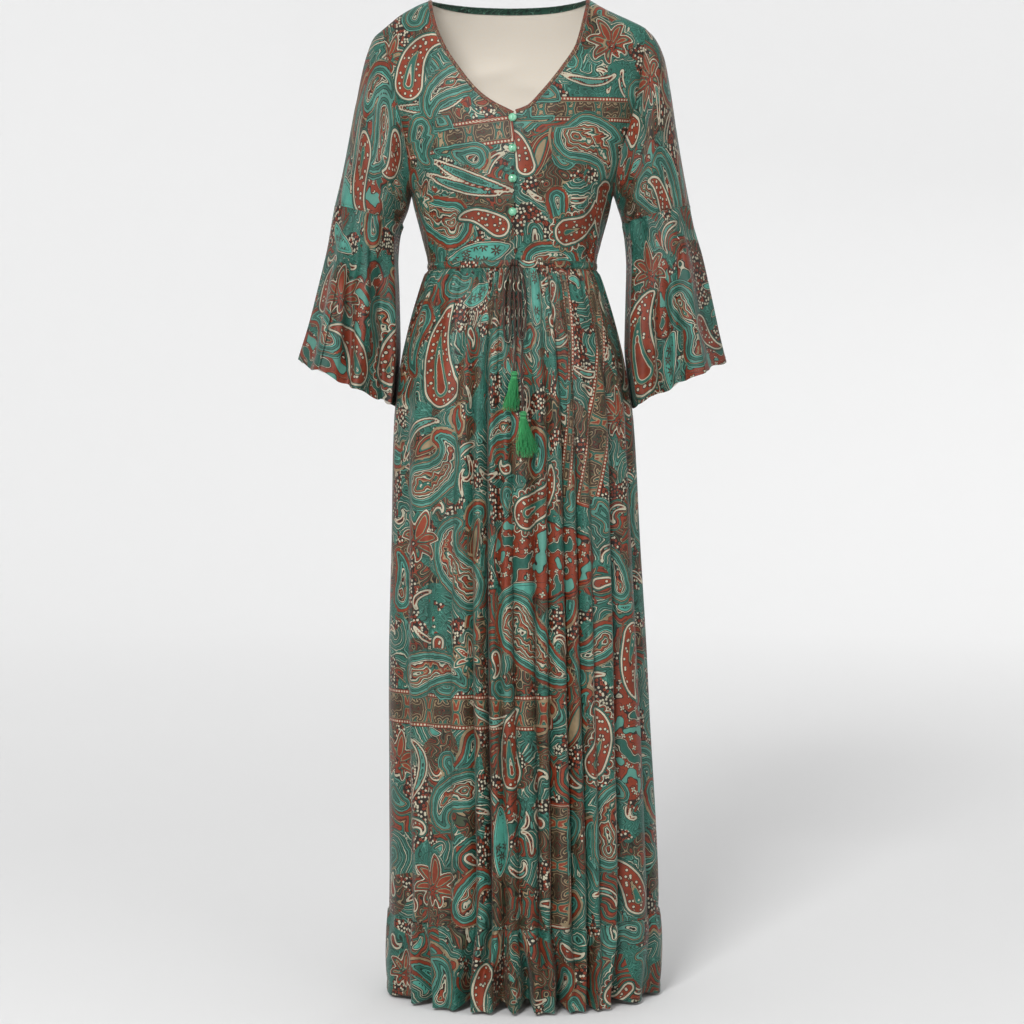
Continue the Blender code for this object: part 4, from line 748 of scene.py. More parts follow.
INWARD = 3               # fine columns from the armhole to the points that show which way is in
AGREE = 0.55             # where two normals point along each other by this much, the sleeve starts
AGREE_OVER = 0.4         # to lean as the bodice does, and this much further on it does so wholly
# Where each panel's print starts on the one wide cloth that all of them are cut from.
CLOTH_START = {"back_bodice": 1.3, "sleeve": 2.2, "skirt_front": 3.8, "skirt_back": 5.0,
               "hem_ruffle_front": 6.0, "hem_ruffle_back": 7.2, "waist_casing": 8.6, "binding": 9.3}
CUFF_START = 1.1         # beyond the sleeve's own start
SLEEVE_START = 0.3

Panel = namedtuple("Panel", "name outer normals cloth ring")


def bodice_grids():
    """Outer points and normals of the two fronts and the back, by side: -1, 1 and 0."""
    rows = np.linspace(0, TOP_ROW, TOP_ROW * BODICE_ROWS + 1)
    grids = {}
    for side, _ in SIDES:
        u, v = np.meshgrid(np.linspace(0, 1, FRONT_COLUMNS * FRONT_FINE + 1), rows)
        outer = front_point(side)(u, v)
        grids[side] = outer, seam_normals(outer, u, v, u >= 0, u >= 1)
    u, v = np.meshgrid(np.linspace(-1, 1, BACK_COLUMNS * BACK_FINE + 1), rows)
    outer = back_point(u, v)
    size = np.abs(u)
    grids[0] = outer, seam_normals(outer, u, v, size >= NECK_SHARE - 1e-6, size >= 1)
    return grids


def armhole_edge(grids, side):
    """The armhole's points, the bodice's normals there and the next points in, round from the shoulder."""
    front, front_normals = grids[side]
    behind, behind_normals = grids[0]
    edge, beside = (0, INWARD) if side < 0 else (-1, -1 - INWARD)
    top, pit = TOP_ROW * BODICE_ROWS, PIT_ROW * BODICE_ROWS
    down, up = np.arange(top, pit - 1, -1), np.arange(pit + 1, top)
    points = np.concatenate([front[down, -1], behind[up, edge]])
    normals = np.concatenate([front_normals[down, -1], behind_normals[up, edge]])
    inside = np.concatenate([front[down, -1 - INWARD], behind[up, beside]])
    points[0, 1] = points[top - pit, 1] = 0.0
    inside[0], inside[top - pit] = front[top, -1 - INWARD], front[pit - 1 - INWARD, -1]
    return points, normals, inside


def soften(values, times):
    """Runs values round a ring together with their neighbours'."""
    for _ in range(times):
        values = (np.roll(values, 1, axis=0) + 2 * values + np.roll(values, -1, axis=0)) / 4
    return values


def dot(a, b):
    """How far each way points along another."""
    return np.sum(a * b, axis=1, keepdims=True)


def ring_grid(count, per, rings, fine, start=0.0):
    """Places round a ring and down it."""
    return np.meshgrid(np.arange(count * per) / per + start,
                       np.linspace(0, len(rings) - 1, (len(rings) - 1) * fine + 1))


def sleeve_grid(grids, side):
    """The sleeve's outer points and normals, joined to the bodice round the armhole."""
    outer = sleeve_point(side, *ring_grid(SLEEVE_COLUMNS, BODICE_ROWS, SLEEVE, SLEEVE_FINE))
    edge, own, inside = armhole_edge(grids, side)
    outer[0] = edge
    normals = grid_normals(outer, ring=True)
    along = unit(np.roll(edge, -1, axis=0) - np.roll(edge, 1, axis=0))
    beyond = edge - inside
    beyond = beyond - dot(beyond, along) * along
    beyond = unit(beyond - dot(beyond, own) * own)
    lean = ease((dot(normals[0], own) - AGREE) / AGREE_OVER)
    normals[0] = unit(soften(own * lean + normals[0] * (1 - lean), 6))
    step = GAP + CLEAR + CLOTH * np.maximum(dot(normals[0], beyond), 0)
    outer[0] = edge + soften(beyond * step + own * GAP * 1.3 * (1 - lean), 3)
    normals[1:] = grid_normals(outer, ring=True)[1:]
    turn = len(edge) // 2
    return np.roll(outer, turn, axis=1), np.roll(normals, turn, axis=1)


def flounce_grid(side):
    """A flounce's outer points and normals."""
    count = len(WAVES) * WAVE_COLUMNS
    outer = flounce_point(side, SHARPER, *ring_grid(count, FLOUNCE_ACROSS, FLOUNCE, FLOUNCE_FINE, count / 2))
    return outer, grid_normals(outer, ring=True)


def run(points, axis):
    """Length along a grid's rows (axis 1) or columns (axis 0)."""
    step = np.linalg.norm(np.diff(points, axis=axis), axis=-1)
    pad = [(0, 0), (0, 0)]
    pad[axis] = (1, 0)
    return np.cumsum(np.pad(step, pad), axis=axis)


def to_edge(points, axis):
    """Length to the nearer end of a grid's rows or columns."""
    turned = np.flip(run(np.flip(points, axis), axis), axis)
    return np.minimum(run(points, axis), turned)


def flat_cloth(u, v):
    """Where each point lies on the flat cloth."""
    return np.stack(np.broadcast_arrays(u, v), axis=-1).astype(float)


def bodice_panels(grids):
    """The two fronts and the back."""
    made = []
    for side, name in SIDES:
        outer, normals = grids[side]
        across = np.abs(outer[:, :1, 0]) + run(outer, 1)
        made.append(Panel("front_bodice_" + name, outer, normals,
                          flat_cloth(side * across, outer[..., 2]), False))
    outer, normals = grids[0]
    across = run(outer, 1)
    across = across - across[:, across.shape[1] // 2][:, None]
    made.append(Panel("back_bodice", outer, normals,
                      flat_cloth(CLOTH_START["back_bodice"] - across, outer[..., 2]), False))
    return made


def ring_panel(name, outer, normals, side, start, sizes):
    """A ring panel, its cloth laid out flat from its closing seam; sizes picks its length round."""
    size = sizes(run(np.concatenate([outer, outer[:, :1]], axis=1), 1)[:, -1])
    across = np.linspace(0, size, outer.shape[1] + 1)[:-1][None, :]
    down = run(outer, 0).mean(axis=1)[:, None]
    u = CLOTH_START["sleeve"] + side * (start + across)
    return Panel(name, outer, normals, flat_cloth(u, -down + 0 * across), True)


def sleeve_panels(grids):
    """Each sleeve and its flounce."""
    made = []
    for side, name in SIDES:
        made.append(ring_panel("sleeve_" + name, *sleeve_grid(grids, side), side, SLEEVE_START, np.mean))
        made.append(ring_panel("sleeve_flounce_" + name, *flounce_grid(side), side, CUFF_START,
                               lambda sizes: sizes[FLOUNCE_SIZE_ROW]))
    return made


def hung_panel(name, back, outer, across):
    """A panel of the skirt or ruffle, from its points and its cloth's length across."""
    normals = grid_normals(outer)
    flat(normals, 0)
    side_seams(normals)
    across = (across - across[:, -1:] / 2) * (-1 if back else 1)
    return Panel(name, outer, normals, flat_cloth(across + CLOTH_START[name], outer[..., 2]), False)


def fine_columns(folds, per):
    """Columns across a panel, several to each of the solid, short of its very end."""
    total = fold_columns(folds)[-1]
    columns = np.linspace(0, total, int(total) * per + 1)
    columns[-1] -= 1e-6
    return columns


def skirt_panels():
    """Front and back of the skirt and of its ruffle."""
    made = []
    # the front's hem depths are the thin cloth's own; the back's are the solid's
    for solid, deeper, end in ((FRONT_FOLDS, 1.0, "front"), (BACK_FOLDS, HEM_DEEPER, "back")):
        back = end == "back"
        folds = [f._replace(skirt=f.skirt * SHARPER, ruffle=f.ruffle * deeper) for f in solid]
        columns = fine_columns(folds, SKIRT_ACROSS[end])
        c, z = np.meshgrid(columns, np.linspace(SKIRT_TOP, SKIRT_BOTTOM, SKIRT_FINE + 1))
        wide = skirt_point(folds, back, columns[None, :], np.full((1, len(columns)), PRINT_HEIGHT))
        made.append(hung_panel("skirt_" + end, back, skirt_point(folds, back, c, z), run(wide, 1)))
        c, share = np.meshgrid(fine_columns(folds, RUFFLE_ACROSS), np.linspace(0, 1, RUFFLE_FINE + 1))
        outer = ruffle_point(folds, back, c, share)
        made.append(hung_panel("hem_ruffle_" + end, back, outer, run(outer[[RUFFLE_SIZE_ROW]], 1)))
    return made


CASING_SIZE = 0.105      # mean distance of the waist's cloth from its middle
CASING_FULLER = 1.6      # the cloth's length before it is shirred, for 1 of the waist's
CASING_PITCH = 0.0062    # of its shirring
CASING_SHIRR = 0.0008
CASING_PUFF = 0.0011
CASING_SINK = 0.0003     # of its stitched edges


def casing_panel():
    """The drawstring casing, puffed between its two stitched edges, its shirring uneven."""
    count = (2 * FRONT_COLUMNS + BACK_COLUMNS) * CASING_FINE
    angle, share = np.meshgrid(np.linspace(-0.5, 1.5, count + 1)[:-1] * math.pi,
                               np.linspace(0, 1, CASING_ACROSS + 1))
    z = WAIST_TOP + (WAIST_BOTTOM - WAIST_TOP) * share
    half = torso_half(z)
    depth = np.where(np.cos(angle) > 0, curve(TORSO, "height", "front", z),
                     curve(TORSO, "height", "back", z))
    normals = level(depth * np.sin(angle), -half * np.cos(angle))
    outer = point(TORSO_CENTRE + half * np.sin(angle), -depth * np.cos(angle), z)
    shirred = uneven(angle * CASING_SIZE, CASING_PITCH, SEEDS["waist_casing"]) * CASING_SHIRR
    puff = CASING_PUFF * np.sin(math.pi * share) ** 0.7 - CASING_SINK
    outer = outer + normals * (shirred * (0.5 + 0.5 * np.sin(math.pi * share)) + puff)[..., None]
    cloth = flat_cloth(CLOTH_START["waist_casing"] + angle * CASING_SIZE * CASING_FULLER, z)
    return seamed(Panel("waist_casing", outer, normals, cloth, True))


# ---------------------------------------------------------------- gathers and creases
def uneven(at, pitch, seed):
    """A run of ridges and troughs, -1 to 1, whose spacing and height wander."""
    noise = np.random.default_rng(seed)
    lowest, highest = float(np.min(at)), float(np.max(at))
    count = int((highest - lowest) / pitch) + 3
    places = lowest - pitch + np.cumsum(noise.uniform(0.62, 1.38, count + 4)) * pitch
    heights = noise.uniform(0.35, 1.0, len(places)) * np.where(np.arange(len(places)) % 2, 1, -1)
    return through(places, heights, np.clip(at, places[0], places[-1]))


def seam_gathers(u, far, seed, step, born, power, wander, sizes):
    """Ridges that start at a gathered seam; sizes holds the pitch, reach and depth of each sort."""
    moved = 0.0
    for number, (pitch, reach, depth) in enumerate(sizes, 1):
        own = seed + number * step
        if wander:
            reach = reach * (1 + 0.45 * uneven(u, pitch * 2.3, own + 100))
        fade = np.clip(1 - far / reach, 0, 1)
        moved = moved + depth * fade ** power * ease(far / born) * uneven(u, pitch, own)
    return moved


SEEDS = {"skirt_front": 3, "skirt_back": 4, "hem_ruffle_front": 31, "hem_ruffle_back": 32,
         "waist_casing": 41, "front_bodice_right": 51, "front_bodice_left": 52, "back_bodice": 53,
         "sleeve_flounce_right": 71, "sleeve_flounce_left": 72, "sleeve_right": 81, "sleeve_left": 82}


# Ridges at each sort of gathered seam: pitch along it, how far they reach from it, and depth.
SKIRT_GATHERS = (0.0085, 0.050, 0.0011), (0.0150, 0.120, 0.0019), (0.0270, 0.260, 0.0026)
RUFFLE_GATHERS = (0.0075, 0.026, 0.0013), (0.0150, 0.070, 0.0024)
BODICE_GATHERS = (0.0060, 0.024, 0.0008), (0.0105, 0.066, 0.0015), (0.0200, 0.130, 0.0020)
CUFF_GATHERS = (0.0110, 0.034, 0.0010), (0.0210, 0.100, 0.0020)
SLEEVE_END = 0.0095, 0.035, 0.0006
# Soft waves over a whole panel: depth, how far from its seam they have grown to it, and pitch.
SKIRT_WAVES = 0.0016, 0.25, 0.034
SKIRT_RIPPLES = 0.0006, 0.10, 0.011
RUFFLE_WAVES = 0.0010, 0.05, 0.030
CUFF_WAVES = 0.0022, 0.06, 0.040
SLEEVE_WAVES = 0.0018, 0.06, 0.033


def soft_waves(u, far, seed, depth, growth, pitch):
    """Waves that grow away from a seam and then run on over the whole panel."""
    return depth * ease(far / growth) * uneven(u, pitch, seed)


def gathers(panel):
    """How far the small creases move a panel's cloth outwards, before the listed ones."""
    u, v, z = panel.cloth[..., 0], panel.cloth[..., 1], panel.outer[..., 2]
    name, seed = panel.name, SEEDS[panel.name]
    down = v[0, 0] - v
    if name.startswith("skirt"):
        below = WAIST_BOTTOM - z
        moved = seam_gathers(u, below, seed, 10, 0.006, 1.1, True, SKIRT_GATHERS)
        moved += soft_waves(u + 0.006 * np.sin(z * 7.0 + u * 9.0), below, seed + 37, *SKIRT_WAVES)
        moved += soft_waves(u + 0.004 * np.sin(z * 23.0), below, seed + 39, *SKIRT_RIPPLES)
        return moved * (ease((z - SKIRT_BOTTOM) / 0.03) * 0.8 + 0.2)
    if name.startswith("hem_ruffle"):
        below = SKIRT_BOTTOM - z
        moved = seam_gathers(u, below, seed, 5, 0.004, 1.2, False, RUFFLE_GATHERS)
        return moved + soft_waves(u, below, seed + 19, *RUFFLE_WAVES)
    if "bodice" in name:
        return seam_gathers(u, z - WAIST_TOP, seed, 10, 0.005, 1.2, True, BODICE_GATHERS)
    if "flounce" in name:
        moved = seam_gathers(u, down, seed, 5, 0.005, 1.2, False, CUFF_GATHERS)
        return moved + soft_waves(u + 0.004 * np.sin(down * 40), down, seed + 19, *CUFF_WAVES)
    pitch, reach, depth = SLEEVE_END
    moved = depth * np.clip(1 - (v - v[-1, 0]) / reach, 0, 1) ** 1.2 * uneven(u, pitch, seed)
    return moved + soft_waves(u + 0.010 * np.sin(down * 19), down, seed + 5, *SLEEVE_WAVES)


# Creases, given one by one: where each is seen from the front or the back, in millimetres, its length,
# its direction in degrees from level, its width and its depth, which is negative for a soft ridge.
CREASES = {
    "front_bodice_right": (
        (-96, -232, 90, 62, 11, 2.3), (-112, -205, 70, 48, 9, 2.0), (-70, -270, 120, 78, 12, 2.3),
        (-44, -282, 110, 84, 9, 1.7), (-124, -160, 62, 70, 9, 1.6), (-118, -262, 54, 30, 8, 1.9),
        (-60, -150, 90, 112, 14, -1.6), (-26, -240, 90, 96, 8, 1.3), (-130, -90, 76, 96, 12, 1.6)),
    "front_bodice_left": (
        (100, -236, 84, 118, 11, 2.2), (116, -208, 66, 134, 9, 2.0), (74, -276, 110, 101, 12, 2.3),
        (46, -290, 96, 95, 9, 1.7), (128, -158, 58, 108, 9, 1.6), (120, -266, 50, 152, 8, 1.9),
        (62, -156, 84, 66, 14, -1.6), (28, -246, 92, 84, 8, 1.3), (136, -86, 70, 84, 12, 1.6)),
    "back_bodice": (
        (-100, -236, 90, 62, 11, 2.2), (102, -232, 86, 119, 11, 2.2), (-52, -280, 130, 83, 12, 2.2),
        (48, -284, 120, 96, 12, 2.2), (-4, -250, 120, 89, 10, 1.4), (-92, -120, 100, 102, 14, 1.7),
        (96, -118, 96, 80, 14, 1.7), (-30, -90, 110, 12, 16, 1.4), (34, -112, 96, 168, 16, 1.4)),
    "sleeve_right": (
        (-196, -110, 90, 68, 11, 2.5), (-178, -190, 90, 74, 10, 2.5), (-212, -210, 80, 80, 9, 2.0),
        (-168, -262, 50, 40, 9, 2.4)),
    "sleeve_left": (
        (202, -112, 90, 112, 11, 2.5), (182, -192, 90, 106, 10, 2.5), (214, -214, 80, 100, 9, 2.0),
        (170, -264, 50, 140, 9, 2.4)),
    "sleeve_flounce_right": (
        (-223, -484, 230, 87, 10, 12), (-250, -474, 190, 78, 9, 7.5), (-236, -486, 190, 83, 9, -4.0),
        (-174, -490, 270, 91, 10, 12), (-190, -376, 120, 93, 8, 6.0), (-214, -372, 90, 80, 7, 5.0)),
    "sleeve_flounce_left": (
        (226, -484, 230, 93, 11, 11), (262, -478, 150, 99, 9, 4.5), (245, -486, 190, 96, 13, -2.5),
        (190, -504, 200, 89, 9.5, 9.5), (229, -344, 90, 82, 8, 6.0), (196, -384, 120, 88, 8, 5.5)),
}


def spot(panel, x, z, behind):
    """The cloth coordinates of a place seen from the front, or from behind; all in millimetres."""
    outer = panel.outer
    facing = outer[..., 1] > 0 if behind else outer[..., 1] < 0
    if not facing.any():
        facing = np.ones_like(facing)
    far = (outer[..., 0] - x / 1000) ** 2 + (outer[..., 2] - z / 1000) ** 2 + np.where(facing, 0, 9)
    return panel.cloth[np.unravel_index(np.argmin(far), far.shape)] * 1000


def crease_depth(panel, x, z, length, turn, width, depth):
    """How deep one crease is at each point: a bowed groove that tapers towards its ends."""
    turn = math.radians(turn)
    dx, dz = panel.outer[..., 0] * 1000 - x, panel.outer[..., 2] * 1000 - z
    along = dx * math.cos(turn) + dz * math.sin(turn)
    aside = dz * math.cos(turn) - dx * math.sin(turn) - 0.08 * along ** 2 / length
    taper = np.clip(1 - (2 * along / length) ** 2, 0, 1)
    return depth / 1000 * np.exp(-(aside / width * 1.6) ** 2) * taper


SEAM_CALM = 0.012        # width beside a seam over which creases die out
BODICE_TOP_CALM = 0.010
SKIRT_END_CALM = 0.004
HEM_SWAY = 0.0034        # how far the cuff's hem lifts and dips
HEM_SWAY_PITCH = 0.030
HEM_SWAY_HEIGHT = 0.09
HEM_VALLEY_LIFT = 0.5    # of the depth of the crease there
HEM_VALLEY_HEIGHT = 0.06


def creased(panel):
    """The panel with its gathers and creases, which die out at its seams."""
    name = panel.name
    moved = gathers(panel)
    facing = panel.outer[..., 1] < 0 if name != "back_bodice" else np.ones_like(moved, bool)
    for crease in CREASES.get(name, ()):
        moved -= crease_depth(panel, *crease) * facing
    if panel.ring:
        number = np.arange(moved.shape[1])
        step = np.ptp(panel.cloth[..., 0]) / len(number)
        calm = ease(np.minimum(number, len(number) - 1 - number) * step / SEAM_CALM)[None, :]
    else:
        calm = ease(to_edge(panel.outer, 1) / SEAM_CALM)
    moved *= calm
    if "bodice" in name:
        moved *= ease(run(panel.outer[::-1], 0)[::-1] / BODICE_TOP_CALM)
    elif name in ("sleeve_right", "sleeve_left"):
        moved *= ease(run(panel.outer, 0) / SEAM_CALM)
    elif name.startswith("skirt"):
        moved *= ease(to_edge(panel.outer, 0) / SKIRT_END_CALM)
    outer = panel.outer + panel.normals * moved[..., None]
    if "flounce" in name:
        # the hem lifts and dips between its folds
        left = panel.cloth[..., 1] - panel.cloth[-1, 0, 1]
        sway = uneven(panel.cloth[..., 0], HEM_SWAY_PITCH, 91 + name.endswith("left"))
        outer[..., 2] += HEM_SWAY * calm * ease(1 - left / HEM_SWAY_HEIGHT) * sway
        outer[..., 2] += HEM_VALLEY_LIFT * np.maximum(-moved, 0) * ease(1 - left / HEM_VALLEY_HEIGHT)
    normals = grid_normals(outer, ring=panel.ring)
    normals[[0, -1]] = panel.normals[[0, -1]]
    if not panel.ring:
        normals[:, [0, -1]] = panel.normals[:, [0, -1]]
    return seamed(panel._replace(outer=outer, normals=normals))


def widened(values, step):
    """A grid with two more columns after its last, at shares of a step."""
    more = np.stack([values[:, -1] + step * share for share in (0.5, 0.97)], axis=1)
    return np.concatenate([values, more], axis=1)


def seamed(panel):
    """A ring panel with two more columns just before its first, so that its print ends in a sharp seam."""
    if not panel.ring:
        return panel
    outer, normals = [widened(v, v[:, 0] - v[:, -1]) for v in (panel.outer, panel.normals)]
    cloth = widened(panel.cloth, panel.cloth[:, -1] - panel.cloth[:, -2])
    return panel._replace(outer=outer, normals=unit(normals), cloth=cloth)


# ---------------------------------------------------------------- thin cloth as a mesh
def coarse_bulge(panel):
    """How far a grid half as fine would stand out of the cloth near each point."""
    outer = panel.outer if not panel.ring else np.concatenate([panel.outer, panel.outer[:, :2]], axis=1)
    half = outer.copy()
    half[1:-1:2] = (half[:-2:2] + half[2::2]) / 2
    half[:, 1:-1:2] = (half[:, :-2:2] + half[:, 2::2]) / 2
    cols = panel.outer.shape[1]
    bulge = np.maximum(np.sum((half[:, :cols] - panel.outer) * panel.normals, axis=2), 0)
    wide = np.pad(bulge, 1, mode="wrap" if panel.ring else "edge")
    wide[0], wide[-1] = wide[1], wide[-2]
    return np.max([wide[i:i + len(bulge), j:j + cols] for i in range(3) for j in range(3)], axis=0)


def quads(n):
    """Four-sided faces over a grid of numbered points."""
    return np.stack([n[:-1, :-1], n[:-1, 1:], n[1:, 1:], n[1:, :-1]], axis=-1).reshape(-1, 4)


def rim(out, into, swap):
    """Five-sided faces between two steps of the outer edge and one of the inner."""
    made = np.stack([out[2::2], out[1::2], out[:-2:2], into[:-1], into[1:]], axis=-1)
    return made[:, ::-1] if swap else made


def put_field(mesh, name, values):
    """Stores a value or a vector for each point of a mesh."""
    kind, key = ("FLOAT", "value") if values.shape[1] == 1 else ("FLOAT_VECTOR", "vector")
    mesh.attributes.new(name, kind, "POINT").data.foreach_set(key, values.ravel())


def place(name, data):
    """Puts an object in the scene."""
    made = bpy.data.objects.new(name, data)
    bpy.context.scene.collection.objects.link(made)
    return made


def shell(panel, fields, materials, thick=CLOTH):
    """A thin closed cloth: a fine outer grid, an inner grid half as fine, and the rim between them."""
    outer = panel.outer
    rows, cols = outer.shape[:2]
    inner = (outer - panel.normals * (thick + coarse_bulge(panel))[..., None])[::2, ::2]
    points = np.concatenate([outer.reshape(-1, 3), inner.reshape(-1, 3)])
    number = np.arange(rows * cols).reshape(rows, cols)
    within = np.arange(inner.shape[0] * inner.shape[1]).reshape(inner.shape[:2]) + rows * cols
    if panel.ring:
        number, within = [np.concatenate([n, n[:, :1]], axis=1) for n in (number, within)]
    outside, inside = quads(number), quads(within)[:, ::-1]
    rims = [rim(number[0], within[0], False), rim(number[-1], within[-1], True)]
    if not panel.ring:
        rims += [rim(number[:, 0], within[:, 0], True), rim(number[:, -1], within[:, -1], False)]
    rims = np.concatenate(rims)
    across = points[outside[:, 2]] - points[outside[:, 0]]
    down = points[outside[:, 3]] - points[outside[:, 1]]
    if np.sum(np.cross(across, down) * panel.normals[:-1, :number.shape[1] - 1].reshape(-1, 3)) < 0:
        outside, inside, rims = outside[:, ::-1], inside[:, ::-1], rims[:, ::-1]
    mesh = bpy.data.meshes.new("cloth_" + panel.name)
    mesh.from_pydata(points, [], outside.tolist() + inside.tolist() + rims.tolist())
    for made in materials:
        mesh.materials.append(made)
    slots = np.zeros(len(mesh.polygons), np.int32)
    slots[len(outside):len(outside) + len(inside)] = 1
    mesh.polygons.foreach_set("material_index", slots)
    for name, values in fields.items():
        both = np.concatenate([values.reshape(rows * cols, -1),
                               values[::2, ::2].reshape(inner.shape[0] * inner.shape[1], -1)])
        if both.shape[1] == 2:
            both = np.concatenate([both, np.zeros((len(both), 1))], axis=1)
        put_field(mesh, name, both)
    mesh.shade_smooth()
    mesh.set_sharp_from_angle(angle=SHARP_EDGE)
    return place("cloth_" + panel.name, mesh)


def settle(made, node=None):
    """Every piece rides on the one body; node is the solid that it takes the place of."""
    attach(made, "root")
    if node:
        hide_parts(node)
